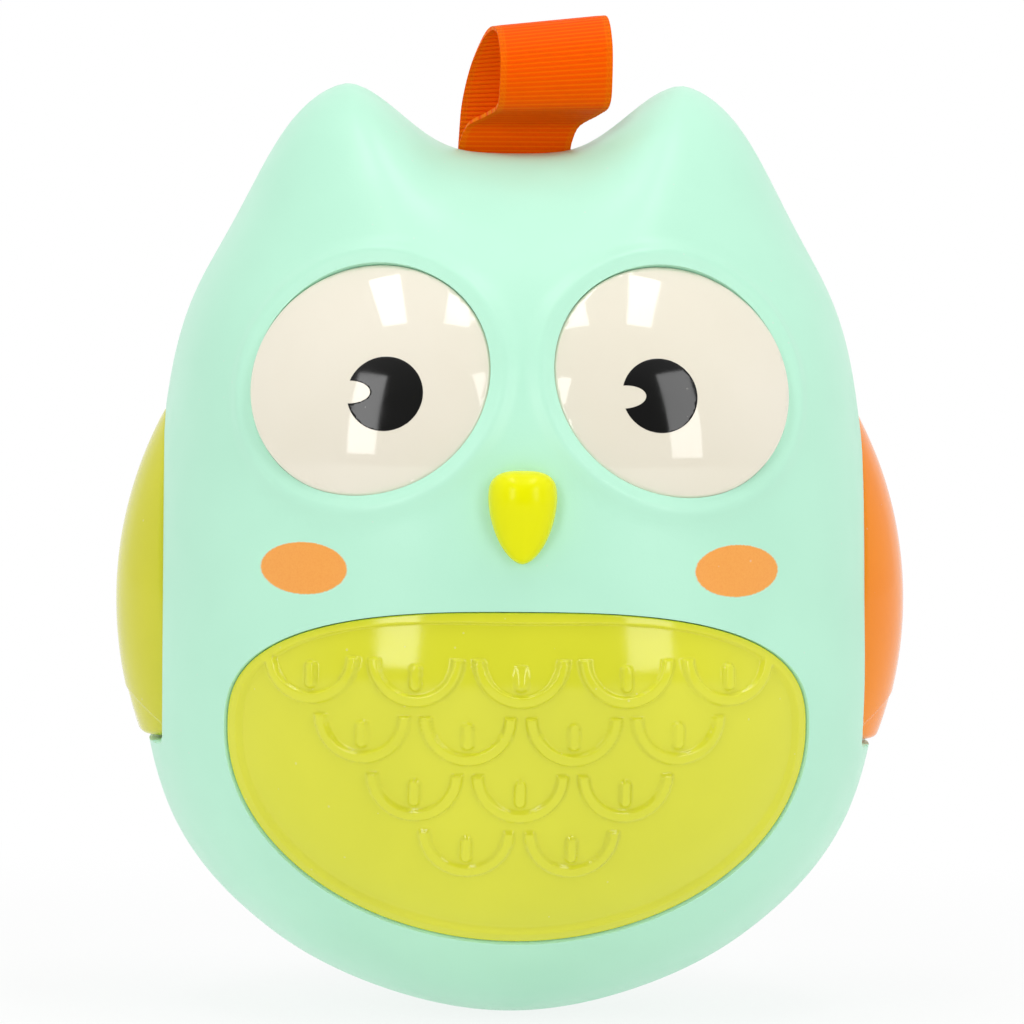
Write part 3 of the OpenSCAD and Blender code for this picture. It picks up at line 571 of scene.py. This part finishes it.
def foldShell(flat, back):
    points = fromFlat(flat)
    normals = flatNormal(flat)
    if not back:
        for side in sides:
            away = awayFromEye(side, points) - shells["socketRadius"]
            rim = shells["rimHeight"] * np.exp(-((away - shells["rimPeak"]) / shells["rimSpread"])**2)
            points = points + rim[:, None] * normals
    limit = wingPlan["landX"] + np.clip(ledgeZ - points[:, 2], 0, None) * wingPlan["landSlope"]
    points[:, 0] = np.clip(points[:, 0], -limit, limit)
    points[:, 1] = np.minimum(points[:, 1], -shells["seamGap"])
    points[:, 2] = np.maximum(points[:, 2], 0)
    if back:
        points = points * [1, -1, 1]
        normals = normals * [1, -1, 1]
    return points, normals


# a shell's openings: curve, rings of points round it, closed or not, step along it, and where its wall runs
def shellOpenings(back):
    openings = []

    def addOpening(kind, curveAt, closed, wall, more=()):
        rings = [curveAt(extra) for extra in shells["rings"][kind]]
        openings.append((curveAt(0), [*rings, *more], closed, shells["steps"][kind], wall))

    if back:
        floor = lambda points, normals: points * [1, 0, 1] + [0, shells["screwFloor"], 0]
        for x, z in shells["screws"]:
            for side in sides.values():
                hole = lambda extra: screwCurve(side * x, z, shells["screwRadius"] + extra)
                addOpening("screw", hole, True, floor)
    else:
        for side in sides:
            out = eyeAxes(side)[3]
            deeper = lambda points, normals, out=out: points - shells["socketDepth"] * out
            socket = lambda extra: socketCurve(side, shells["socketRadius"] + extra)
            addOpening("socket", socket, True, deeper)
        inward = lambda points, normals: points - shells["bellyDepth"] * normals
        addOpening("belly", lambda extra: bellyCurve(bellyPlan["gap"] + extra), True, inward)
    for side in sides.values():
        floor = lambda points, normals, side=side: points * [0, 1, 1] + [side * wingPlan["floorX"], 0, 0]
        more = [landCurve(side, back)]
        more += [ledgeCurve(side, back, ledgeZ - below) for below in shells["rings"]["ledge"]]
        pocket = lambda extra: pocketCurve(side, back, wingPlan["gap"] + extra)
        addOpening("pocket", pocket, False, floor, more)
    addOpening("slot", lambda extra: slotCurve(back, extra), False, None)
    return openings


# which triangles of the net belong to the shell, by their middles
def outsideOpenings(middle, back):
    x, y, z = np.abs(middle).T
    keep = ~((x < shells["slotX"]) & (y < shells["slotY"]) & (z > shells["crownFromZ"]))
    keep &= ~((x > shells["flankFromX"]) & inPlan(wingPlan, y, z, wingPlan["gap"]))
    if back:
        for screwX, screwZ in shells["screws"]:
            keep &= np.hypot(x - screwX, z - screwZ) > shells["screwRadius"] * shells["screwTrim"]
    else:
        keep &= ~inPlan(bellyPlan, x, z, bellyPlan["gap"])
        for side in sides:
            keep &= awayFromEye(side, middle) > shells["socketRadius"] * shells["socketTrim"]
    return keep


def makeShell(back):
    openings = shellOpenings(back)
    flat, edges, walls = [], [], []
    count = 0
    for curve, _, closed, step, wall in openings:
        loop = toFlat(evenly(curve, step, closed))
        last = count + len(loop)
        edges += [(k, k + 1) for k in range(count, last - 1)] + ([(last - 1, count)] if closed else [])
        if wall:
            walls.append((range(count, last), closed, wall))
        flat.append(loop)
        count = last
    for _, rings, closed, step, _ in openings:
        flat += [toFlat(evenly(ring, step * shells["ringStep"], closed)) for ring in rings]
    turns = np.radians(np.arange(0, 360, 1.0))
    flat.append(90 * np.stack([np.sin(turns), -np.cos(turns)], axis=-1))
    drawn = np.vstack(flat)
    tree = treeOf(drawn)
    gap = shells["spacing"]
    rows = np.arange(-90, 90, gap * math.sqrt(3) / 2)
    net = [(x + (k % 2) * gap / 2, z) for k, z in enumerate(rows) for x in np.arange(-90, 90, gap)]
    net = [p for p in net if math.hypot(*p) < 90 - gap / 2 and tree.find((*p, 0))[2] > gap * 0.55]
    drawn = np.vstack([drawn, net])
    made, _, faces, origin, _, _ = geometry.delaunay_2d_cdt([Vector(p) for p in drawn], edges, [], 0, 1e-7)
    made = np.array([tuple(p) for p in made])
    number = {source: k for k, sources in enumerate(origin) for source in sources}
    faces = np.array(faces)
    middle = fromFlat(made[faces].mean(axis=1)) * [1, -1 if back else 1, 1]
    faces = faces[outsideOpenings(middle, back)]
    points, normals = foldShell(made, back)
    faces = [tuple(face[::-1]) if back else tuple(face) for face in faces.tolist()]
    for loop, closed, wall in walls:
        ring = [number[k] for k in loop]
        first, count = len(points), len(ring)
        points = np.vstack([points, wall(points[ring], normals[ring])])
        normals = np.vstack([normals, normals[ring]])
        for k in range(count if closed else count - 1):
            a, b = ring[k], ring[(k + 1) % count]
            face = (a, b, first + (k + 1) % count, first + k)
            faces.append(face[::-1] if back else face)
    piece = newPiece("shell", points, faces)
    thick = piece.vertex_groups.new(name="thick")  # full wall under the skin, thin walls in the openings
    thick.add(list(range(len(made))), 1.0, "REPLACE")
    thin = [number[k] for loop, _, _ in walls for k in loop] + list(range(len(made), len(points)))
    thick.add(thin, shells["thinShare"], "REPLACE")
    loose = lambda: bpy.ops.mesh.delete_loose(use_verts=True, use_edges=True, use_faces=False)
    editAll(piece, weld, loose)
    roundEdges(piece, shells["edgeRound"], 3, shells["edgeAngle"])
    thicken(piece, shells["wall"], group="thick")
    smooth(piece, shells["smoothAngle"])
    return piece


addPiece(makeShell(False), "frontShell", "body", "shell", plastics["mintFront"], "front_shell")
addPiece(makeShell(True), "rearShell", "body", "shell", plastics["mintRear"], "rear_shell")


# a sheet of rings round a middle point, from a plain grid: place gives each ring's points
def ringSheet(spokes, rings, place):
    piece = addPrimitive(bpy.ops.mesh.primitive_grid_add, x_subdivisions=spokes,
                         y_subdivisions=rings - 1, size=2)
    flat = getPoints(piece)
    angle = (flat[:, 0] + 1) * 180
    ring = np.rint((flat[:, 1] + 1) / 2 * (rings - 1)).astype(int)
    setPoints(piece, place(angle % 360, ring) * mm)
    editAll(piece, weld, faceOut)
    return piece


# rings that fill a plan and roll over at its edge: share of the way out, the plan's reach, how far the edge
# falls, and the place in the plan
def planRings(plan, settings, angle, ring, rollRings):
    flatRings = settings["rings"] - settings["edgeRings"] - 1
    share = np.clip(ring / flatRings, 0, 1)
    roll = np.radians(np.clip((ring - flatRings) / rollRings, 0, 1) * 90)
    inset = settings["edgeRound"] * (1 - np.sin(roll))
    across, upward = planOval({**plan, "z": 0}, angle, 0)
    length = np.hypot(across, upward)
    scale = share * (length - inset) / length
    fall = settings["edgeRound"] * (1 - np.cos(roll))
    return share, length, fall, across * scale, upward * scale + plan["z"]


def pointOut(piece, direction):
    face = max(piece.data.polygons, key=lambda p: p.center.dot(Vector(direction)))
    if face.normal.dot(Vector(direction)) < 0:
        editAll(piece, bpy.ops.mesh.flip_normals)


# belly panel: a little below the body's form at its edge and fuller in the middle, with a raised border and
# rows of feathers
belly = {
    "sink": 0.4, "bulge": 1.6, "relief": 0.75, "border": 1.7, "borderSlant": 0.92, "soft": 0.4,
    "edgeRound": 0.4, "depth": 2.6, "featherRadius": 8.2, "featherBand": 1.8, "rows": 4, "topRow": 5,
    "quill": 0.9, "spokes": 560, "rings": 150, "edgeRings": 7,
}


def bellyRelief(x, z):
    band, radius, soft = belly["featherBand"], belly["featherRadius"], belly["soft"]
    pitch, fall = 2 * radius + band, radius + band
    top = bellyPlan["z"] + bellyPlan["rise"] + band
    height = np.zeros_like(x)
    for row in range(1, belly["rows"] + 1):
        for i in range(belly["topRow"] - row + 1):
            dx = x - (i - (belly["topRow"] - row) / 2) * pitch
            dz = z - (top - row * fall)
            ring = band / 2 - np.abs(np.hypot(dx, dz) - (radius - band / 2))
            scallop = softStep(np.minimum(ring, -dz), -soft / 2, soft / 2)
            along = np.clip(-dz, band, radius - band - 2 * belly["quill"])
            quill = softStep(belly["quill"] - np.hypot(dx, dz + along), -soft / 2, soft / 2)
            height = np.maximum(height, np.maximum(scallop, quill))
    return height


def placeBelly(angle, ring):
    share, length, fall, x, z = planRings(bellyPlan, belly, angle, ring, belly["edgeRings"] - 2)
    points = onSkin(np.stack([x, 0 * x, z], axis=-1), (0, -1, 0))
    inside = (1 - share) * length * belly["borderSlant"]
    border = 1 - softStep(inside, belly["border"] - belly["soft"], belly["border"])
    raised = np.maximum(border, bellyRelief(x, z))
    drop = belly["sink"] - belly["bulge"] * (1 - share**2) + belly["relief"] * (1 - raised) + fall
    drop = np.where(ring == belly["rings"] - 1, belly["sink"] + belly["depth"], drop)
    return points - drop[:, None] * skinNormal(points)


bellyPanel = ringSheet(belly["spokes"], belly["rings"], placeBelly)
pointOut(bellyPanel, (0, -1, 0))
smooth(bellyPanel)
addPiece(bellyPanel, "bellyPanel", "body", "belly", plastics["limeBelly"], "belly_panel")


# eyes: a dome cut from a ball, its rim rounded and its skirt drawn back into the socket
eyes = {"rim": 21.53, "dome": 44.07, "proud": 2.4, "skirt": 4.8, "edgeRound": 0.9, "wall": 1.8,
        "segments": 192, "rings": 240}
domeZ = eyes["proud"] - eyes["dome"]
rimZ = domeZ + math.sqrt(eyes["dome"]**2 - eyes["rim"]**2)


def makeEye(side):
    piece = addPrimitive(bpy.ops.mesh.primitive_uv_sphere_add, segments=eyes["segments"],
                         ring_count=eyes["rings"], radius=eyes["dome"] * mm, location=(0, 0, domeZ * mm))
    bpy.ops.object.transform_apply(location=True, rotation=True, scale=True)
    bpy.ops.object.mode_set(mode="EDIT")
    bpy.ops.mesh.select_all(action="SELECT")
    bpy.ops.mesh.bisect(plane_co=(0, 0, rimZ * mm), plane_no=(0, 0, 1), clear_inner=True, use_fill=False)
    bpy.ops.mesh.extrude_edges_move(TRANSFORM_OT_translate={"value": (0, 0, -eyes["skirt"] * mm)})
    bpy.ops.object.mode_set(mode="OBJECT")
    roundEdges(piece, eyes["edgeRound"], 5, 35)
    thicken(piece, eyes["wall"])
    piece.data.transform(eyeMatrix(side))
    smooth(piece, 50)
    addPiece(piece, side + "Eye", side + "_eye", "eye", plastics["eyeCream"], side + "_eye")


# pupils: a disc with a bite out of its left side, laid on the dome and leaning in towards the beak
pupils = {"radius": 6.65, "biteX": 3.8, "biteZ": 2.05, "lean": 8.0, "turn": 45.0, "proud": 0.04, "thick": 0.4,
          "edgeRound": 0.08, "spacing": 0.35}


def pupilOutline():
    angle = np.radians(np.arange(0, 360, 2.0))
    disc = np.stack([np.cos(angle), np.sin(angle)], axis=-1) * pupils["radius"]
    mouth = -math.sqrt(pupils["radius"]**2 - pupils["biteZ"]**2)
    disc = disc[~((disc[:, 0] < 0) & (np.abs(disc[:, 1]) < pupils["biteZ"]))]
    start = np.radians(np.linspace(-90, 90, 40))[::-1]
    bite = np.stack([mouth + pupils["biteX"] * np.cos(start), pupils["biteZ"] * np.sin(start)], axis=-1)
    upper = disc[disc[:, 1] >= 0]
    lower = disc[disc[:, 1] < 0]
    upper = upper[np.argsort(np.arctan2(upper[:, 1], upper[:, 0]))]
    lower = lower[np.argsort(np.arctan2(lower[:, 1], lower[:, 0]))]
    return np.vstack([upper, bite, lower])


def makePupil(side):
    outline = pupilOutline()
    count = len(outline)
    edges = [(k, (k + 1) % count) for k in range(count)]
    gap = pupils["spacing"]
    grid = np.arange(-pupils["radius"], pupils["radius"], gap)
    tree = treeOf(outline)
    net = [(x, z) for x in grid for z in grid if tree.find((x, z, 0))[2] > gap * 0.6]
    made, _, faces, _, _, _ = geometry.delaunay_2d_cdt(
        [Vector(p) for p in np.vstack([outline, net])], edges, [tuple(range(count))], 1, 1e-7)
    made = np.array([tuple(p) for p in made])
    ball = eyes["dome"] + pupils["proud"]
    points = np.stack([made[:, 0], made[:, 1], np.sqrt(ball**2 - (made**2).sum(axis=1))], axis=-1)
    piece = newPiece("pupil", points, faces)
    editAll(piece, faceOut)
    pointOut(piece, (0, 0, 1))
    thicken(piece, pupils["thick"])
    roundEdges(piece, pupils["edgeRound"], 2, 40)
    way = math.radians(-pupils["turn"] if side == "left" else 180 + pupils["turn"])
    leaning = Matrix.Rotation(way, 4, "Z") @ Matrix.Rotation(math.radians(pupils["lean"]), 4, "Y")
    place = eyeMatrix(side) @ Matrix.Translation((0, 0, domeZ * mm)) @ leaning
    piece.data.transform(place @ Matrix.Rotation(-way, 4, "Z"))
    smooth(piece, 40)
    addPiece(piece, side + "Pupil", side + "_eye", "pupil", plastics["pupilBlack"], side + "_pupil")


for side in sides:
    makeEye(side)
    makePupil(side)


# beak: a ball drawn into a shield, broad at the brow and narrow at the tip
beak = {"z": 90.42, "halfWidth": 5.95, "rise": 4.6, "drop": 11.3, "proud": 6.2, "seat": 1.2, "widestZ": 94.0,
        "powers": (2.9, 1.75), "fullness": 0.72, "taper": 0.28}


def makeBeak():
    piece = addPrimitive(bpy.ops.mesh.primitive_uv_sphere_add, segments=96, ring_count=64, radius=1.0)
    ball = getPoints(piece)
    away = np.hypot(ball[:, 0], ball[:, 1])
    angle = np.degrees(np.arctan2(ball[:, 1], ball[:, 0]))
    across, upward = oval(angle, beak["halfWidth"], beak["rise"], beak["drop"], *beak["powers"])
    x, z = across * away, upward * away + beak["widestZ"]
    base = onSkin(np.stack([x, 0 * x, z], axis=-1), (0, -1, 0))
    middle = onSkin(np.array([[0, 0, beak["z"]]]), (0, -1, 0))
    out = skinNormal(middle)[0]
    front = np.abs(ball[:, 2])**beak["fullness"] * beak["proud"]
    lift = np.where(ball[:, 2] > 0, front, ball[:, 2] * beak["seat"])
    nose = 1 - beak["taper"] * softStep(beak["widestZ"] - z, 0.0, beak["drop"])
    setPoints(piece, (base + (lift * nose)[:, None] * out) * mm)
    editAll(piece, faceOut)
    smooth(piece)
    addPiece(piece, "beakShield", "body", "beak", plastics["beakYellow"], "beak")


makeBeak()


# wings: a barrel-shaped tongue with a rolled rim, and a shallow arch sunk into its lower end
wing = {
    "span": 141.0, "arc": 70.5, "radius": 22.5, "midZ": 73.0, "backX": 57.0, "leastSkirt": 0.5, "wall": 1.7,
    "edgeRound": 0.9, "scoopRadius": 17.0, "scoopTop": 56.92, "scoopDepth": 0.28, "scoopSoft": 0.25,
    "spokes": 240, "rings": 84, "edgeRings": 8,
}
wingLooks = {"left": ("wing_lime", "limeWing"), "right": ("wing_orange", "orangeWing")}


def makeWing(side):
    def placeWing(angle, ring):
        _, _, fall, y, z = planRings(wingPlan, wing, angle, ring, wing["edgeRings"] - 1)
        radius = wing["radius"] - wing["arc"] + np.sqrt(wing["arc"]**2 - (z - wing["midZ"])**2)
        x = wing["span"] / 2 - wing["radius"] + np.sqrt(radius**2 - y**2)
        arch = wing["scoopRadius"] - np.hypot(y, z - (wing["scoopTop"] - wing["scoopRadius"]))
        x = x - wing["scoopDepth"] * softStep(arch, -wing["scoopSoft"], wing["scoopSoft"]) - fall
        x = np.where(ring == wing["rings"] - 1, np.minimum(wing["backX"], x - wing["leastSkirt"]), x)
        return np.stack([sides[side] * x, y, z], axis=-1)

    piece = ringSheet(wing["spokes"], wing["rings"], placeWing)
    pointOut(piece, (sides[side], 0, 0))
    thicken(piece, wing["wall"])
    smooth(piece, 60)
    slot, look = wingLooks[side]
    addPiece(piece, side + "Wing", side + "_wing", slot, plastics[look], side + "_wing")


for side in sides:
    makeWing(side)


# ribbon: a closed strip of grosgrain round its bar, out through the slot, forwards over and back in
ribbon = {
    "width": 20.0, "thick": 0.7, "barDrop": 8.0, "layer": 0.65, "wrap": 2.25, "height": 23.8,
    "depth": 12.6, "skew": 7.0, "tilt": 6.0, "tiltSpan": (0.1, 0.9), "ribPitch": 0.84, "ribDepth": 0.05,
    "perRib": 6, "across": 28, "selvedge": (0.86, 0.94), "selvedgeFlat": 0.7,
    # back and forth, height and sideways lean of the loop's points, as shares of its depth, height and skew
    "loop": [(0.08, 0.12, 0.02), (0.15, 0.4, 0.1), (0.14, 0.7, 0.32), (-0.05, 0.93, 0.65),
             (-0.42, 0.97, 0.9), (-0.76, 0.8, 1.0), (-0.87, 0.56, 1.0), (-0.74, 0.37, 0.95),
             (-0.42, 0.3, 0.7), (-0.16, 0.22, 0.25), (-0.1, 0.1, 0.05)],
}


def ribbonRoute():
    barZ = crownZ - ribbon["barDrop"]
    turns = np.radians(np.arange(-210, 31, 30))
    knots = [(0, ribbon["wrap"] * math.cos(t), barZ + ribbon["wrap"] * math.sin(t)) for t in turns]
    knots += [(0, ribbon["layer"], crownZ - shells["wall"]), (0, ribbon["layer"], crownZ)]
    for y, z, lean in ribbon["loop"]:
        knots.append((lean * ribbon["skew"], y * ribbon["depth"], crownZ + z * ribbon["height"]))
    knots += [(0, -ribbon["layer"], crownZ), (0, -ribbon["layer"], crownZ - shells["wall"])]
    knots = np.array(knots)
    f = np.linspace(0, 1, 21)[:-1][:, None]
    path = spline(*(np.roll(knots, k, axis=0)[:, None] for k in (1, 0, -1, -2)), f)
    return path.reshape(-1, 3)


def makeRibbon():
    path = ribbonRoute()
    closed = np.vstack([path, path[:1]])
    pieces = np.linalg.norm(np.diff(closed * [0, 1, 1], axis=0), axis=1)
    length = pieces.sum()
    travelled = np.concatenate([[0], np.cumsum(pieces)])
    ribs = int(round(length / ribbon["ribPitch"]))
    piece = addPrimitive(bpy.ops.mesh.primitive_grid_add, x_subdivisions=ribs * ribbon["perRib"],
                         y_subdivisions=ribbon["across"], size=2)
    flat = getPoints(piece)
    at = (flat[:, 0] + 1) / 2 * length

    def point(place):
        return np.stack([np.interp(place % length, travelled, closed[:, k]) for k in range(3)], axis=-1)

    here, ahead = point(at), point(at + 0.2) - point(at - 0.2)
    out = np.stack([0 * at, -ahead[:, 2], ahead[:, 1]], axis=-1)
    out = out / np.linalg.norm(out, axis=1)[:, None]
    rise = np.clip((here[:, 2] - crownZ) / ribbon["height"], 0, 1)
    tilt = np.radians(ribbon["tilt"]) * softStep(rise, *ribbon["tiltSpan"])
    reach = flat[:, 1] * ribbon["width"] / 2
    spread = np.stack([reach * np.cos(tilt), 0 * reach, reach * np.sin(tilt)], axis=-1)
    selvedge = softStep(np.abs(flat[:, 1]), *ribbon["selvedge"])
    wave = np.cos(at / length * ribs * 2 * math.pi) * (1 - ribbon["selvedgeFlat"] * selvedge)
    wave = wave * ribbon["ribDepth"]
    setPoints(piece, (here + spread + wave[:, None] * out) * mm)
    editAll(piece, weld, faceOut)
    thicken(piece, ribbon["thick"], offset=0.0)
    smooth(piece, 60)
    print("ribbon length", round(length, 2), "mm with", ribs, "ribs")
    return piece, length, ribs


ribbonPiece, ribbonLength, ribbonRibs = makeRibbon()


# grosgrain: ribs of tight weft over thick cord, a stitched selvedge and loose fibres, with painted shade as a
# darker orange in the valleys between the ribs
grosgrain = {
    "valleyShade": (246, 72, 0), "rib": (255, 106, 0), "weft": (248, 116, 2), "stitch": (252, 132, 8),
    "weftShare": 0.35, "stitchShare": 0.7, "selvedge": (0.43, 0.455), "threads": 240.0, "stitchLean": 500.0,
    "ribHeight": 0.6, "weftHeight": 0.35, "stitchHeight": 0.4, "bump": 0.6, "bumpHeight": 0.2,
    "rough": (0.48, 0.66), "shine": 0.2, "tint": (255, 176, 70),
}


def makeGrosgrain(ribs):
    material, tree, shader, _ = newMaterial("orangeGrosgrain")
    times = lambda value, factor: mathNode(tree, "MULTIPLY", value, factor)
    chart = addNode(tree, "ShaderNodeUVMap", uv_map="UVMap").outputs[0]
    axes = addNode(tree, "ShaderNodeSeparateXYZ", {0: chart})
    along = times(axes.outputs["X"], float(ribs) * 2 * math.pi)
    rib = rangeNode(tree, mathNode(tree, "COSINE", along), -1.0, 1.0, 0.0, 1.0)
    edge = mathNode(tree, "ABSOLUTE", mathNode(tree, "SUBTRACT", axes.outputs["Y"], 0.5))
    selvedge = rangeNode(tree, edge, *grosgrain["selvedge"], 0.0, 1.0)
    scale = (float(ribs), grosgrain["threads"], 1.0)
    threads = addNode(tree, "ShaderNodeMapping", {"Vector": chart, "Scale": scale}).outputs[0]
    weft = noiseNode(tree, threads, 1.0, 2.0, 0.6)
    slant = times(axes.outputs["Y"], grosgrain["stitchLean"])
    stitch = mathNode(tree, "SINE", mathNode(tree, "ADD", times(along, 0.5), slant))
    stitched = mathNode(tree, "MULTIPLY", selvedge, rangeNode(tree, stitch, -0.2, 0.9, 0.0, 1.0))
    # the valleys between the ribs are painted a darker orange as shade, the crests keep the ribbon's own orange
    colour = mixNode(tree, rib, linear(*grosgrain["valleyShade"]), linear(*grosgrain["rib"]))
    colour = mixNode(tree, times(weft, grosgrain["weftShare"]), colour, linear(*grosgrain["weft"]))
    colour = mixNode(tree, times(stitched, grosgrain["stitchShare"]), colour, linear(*grosgrain["stitch"]))
    tree.links.new(colour, shader.inputs["Base Color"])
    height = mathNode(tree, "ADD", times(rib, grosgrain["ribHeight"]), times(weft, grosgrain["weftHeight"]))
    height = mathNode(tree, "ADD", height, times(stitched, grosgrain["stitchHeight"]))
    settings = {"Height": height, "Strength": grosgrain["bump"], "Distance": grosgrain["bumpHeight"] * mm}
    bump = addNode(tree, "ShaderNodeBump", settings)
    tree.links.new(bump.outputs["Normal"], shader.inputs["Normal"])
    tree.links.new(rangeNode(tree, weft, 0.2, 0.8, *grosgrain["rough"]), shader.inputs["Roughness"])
    shader.inputs["Specular IOR Level"].default_value = grosgrain["shine"]
    shader.inputs["Specular Tint"].default_value = linear(*grosgrain["tint"])
    return material


addPiece(ribbonPiece, "ribbonLoop", "body", "ribbon", makeGrosgrain(ribbonRibs), "ribbon_loop")


# the inner pieces keep their solids and get their finish by material slot
slotMaterials = {
    "shell": plastics["mintRear"], "liner": plastics["mintLiner"], "belly": plastics["limeBelly"],
    "beak": plastics["beakYellow"], "eye": plastics["eyeCream"], "pupil": plastics["pupilBlack"],
    "wing_lime": plastics["limeWing"], "wing_orange": plastics["orangeWing"],
    "ribbon": ribbonPiece.data.materials[0], "steel": metals["steelBright"], "iron": metals["ironCast"],
    "clip": plastics["greyClip"], "chime": plastics["whiteChime"],
}
for part in frame["record"]["subparts"]:
    for slot in frame["nodes"][part["node"]].material_slots:
        slot.material = slotMaterials[part["material_slot"]]


# studio: pale floor and backdrop, a tall soft box on each side in front, two strips overhead and an even
# surround that is dim in front, where the camera stands
studio = {
    "floorSize": 6.0, "backdropY": 2.8, "paleColour": (0.9, 0.9, 0.9, 1.0), "paleRough": 0.9,
    "shadowReach": (0.1, 0.32), "floorNear": 0.82, "backdropNear": 1.0, "bounce": 0.55,
    "front": 0.14, "around": 0.84, "frontSpan": (-0.9, -0.15), "eyes": (0.0, -0.045, 0.115),
    # azimuth and elevation seen from the eyes, distance, width, height, watts
    "boxes": {"frontLeft": (-30, 21, 1.3, 0.31, 0.85, 3.8), "frontRight": (36, 21, 1.3, 0.35, 0.90, 3.6)},
    # distance to the side, distance in front, height, width, length, watts
    "strips": {"topLeft": (-0.235, 0.19, 1.115, 0.19, 0.55, 1.6),
               "topRight": (0.235, 0.19, 1.115, 0.19, 0.55, 1.6)},
}
scene = bpy.context.scene
scene.view_settings.view_transform = "Standard"


def fromAim(azimuth, elevation, distance, aim):
    a, e = math.radians(azimuth), math.radians(elevation)
    way = Vector((math.sin(a) * math.cos(e), -math.cos(a) * math.cos(e), math.sin(e)))
    return Vector(aim) + distance * way


# floor and backdrop are plain white where they are looked at, but for a faint shadow near the toy, and throw
# some light back up at it
def makePale(name, nearShare):
    material, tree, shader, place = newMaterial(name)
    shader.inputs["Base Color"].default_value = studio["paleColour"]
    shader.inputs["Roughness"].default_value = studio["paleRough"]
    path = addNode(tree, "ShaderNodeLightPath")
    looked = studio["bounce"]
    for kind in ("Is Camera Ray", "Is Glossy Ray", "Is Transmission Ray"):
        looked = mathNode(tree, "MAXIMUM", path.outputs[kind], looked)
    away = addNode(tree, "ShaderNodeVectorMath", {0: place}, operation="LENGTH").outputs["Value"]
    plain = rangeNode(tree, away, *studio["shadowReach"], nearShare, 1.0)
    white = addNode(tree, "ShaderNodeEmission", {"Color": (1, 1, 1, 1), "Strength": 1.0})
    mix = addNode(tree, "ShaderNodeMixShader", {0: mathNode(tree, "MULTIPLY", looked, plain)})
    tree.links.new(shader.outputs[0], mix.inputs[1])
    tree.links.new(white.outputs[0], mix.inputs[2])
    output = next(node for node in tree.nodes if node.type == "OUTPUT_MATERIAL")
    tree.links.new(mix.outputs[0], output.inputs["Surface"])
    return material


def makeFloor():
    floor = addPrimitive(bpy.ops.mesh.primitive_plane_add, size=studio["floorSize"])
    floor.name = "floor"
    floor.data.materials.append(makePale("paleFloor", studio["floorNear"]))
    behind = (0, studio["backdropY"], studio["floorSize"] / 2)
    backdrop = addPrimitive(bpy.ops.mesh.primitive_plane_add, size=studio["floorSize"],
                            rotation=(math.pi / 2, 0, 0), location=behind)
    bpy.ops.object.transform_apply(location=True, rotation=True, scale=True)
    backdrop.name = "backdrop"
    backdrop.data.materials.append(makePale("paleBackdrop", studio["backdropNear"]))


def makeLamp(name, location, aim, width, height, watts):
    data = bpy.data.lights.new(name, "AREA")
    data.shape, data.size, data.size_y, data.energy = "RECTANGLE", width, height, watts
    lamp = bpy.data.objects.new(name, data)
    scene.collection.objects.link(lamp)
    lamp.location = location
    lamp.rotation_euler = (Vector(location) - Vector(aim)).to_track_quat("Z", "Y").to_euler()
    lamp.visible_camera = False


def makeSurround():
    world = bpy.data.worlds.new("surround")
    scene.world = world
    world.use_nodes = True
    tree = world.node_tree
    tree.nodes.clear()
    direction = addNode(tree, "ShaderNodeTexCoord").outputs["Generated"]
    ahead = addNode(tree, "ShaderNodeSeparateXYZ", {0: direction}).outputs["Y"]
    strength = rangeNode(tree, ahead, *studio["frontSpan"], studio["front"], studio["around"])
    sky = addNode(tree, "ShaderNodeBackground", {"Color": (1, 1, 1, 1), "Strength": strength})
    tree.links.new(sky.outputs[0], addNode(tree, "ShaderNodeOutputWorld").inputs["Surface"])


makeFloor()
for name, (azimuth, elevation, distance, width, height, watts) in studio["boxes"].items():
    place = fromAim(azimuth, elevation, distance, studio["eyes"])
    makeLamp(name, place, studio["eyes"], width, height, watts)
for name, (across, ahead, height, width, length, watts) in studio["strips"].items():
    makeLamp(name, (across, -ahead, height), (across, -ahead, 0), width, length, watts)
makeSurround()


# camera: a long lens from a little above and left of straight ahead
camera = {"azimuth": -2.0, "elevation": 3.0, "roll": 0.5, "distance": 1.5, "lens": 294.6, "sensor": 36.0,
          "clip": (0.05, 20.0), "aim": (0.0002, 0.0, 0.0886)}


def makeCamera():
    data = bpy.data.cameras.new("camera")
    piece = bpy.data.objects.new("camera", data)
    scene.collection.objects.link(piece)
    piece.location = fromAim(camera["azimuth"], camera["elevation"], camera["distance"], camera["aim"])
    look = (piece.location - Vector(camera["aim"])).to_track_quat("Z", "Y").to_matrix().to_4x4()
    piece.rotation_euler = (look @ Matrix.Rotation(math.radians(camera["roll"]), 4, "Z")).to_euler()
    data.lens, data.sensor_width = camera["lens"], camera["sensor"]
    data.clip_start, data.clip_end = camera["clip"]
    scene.camera = piece


makeCamera()
print("studio and camera set")
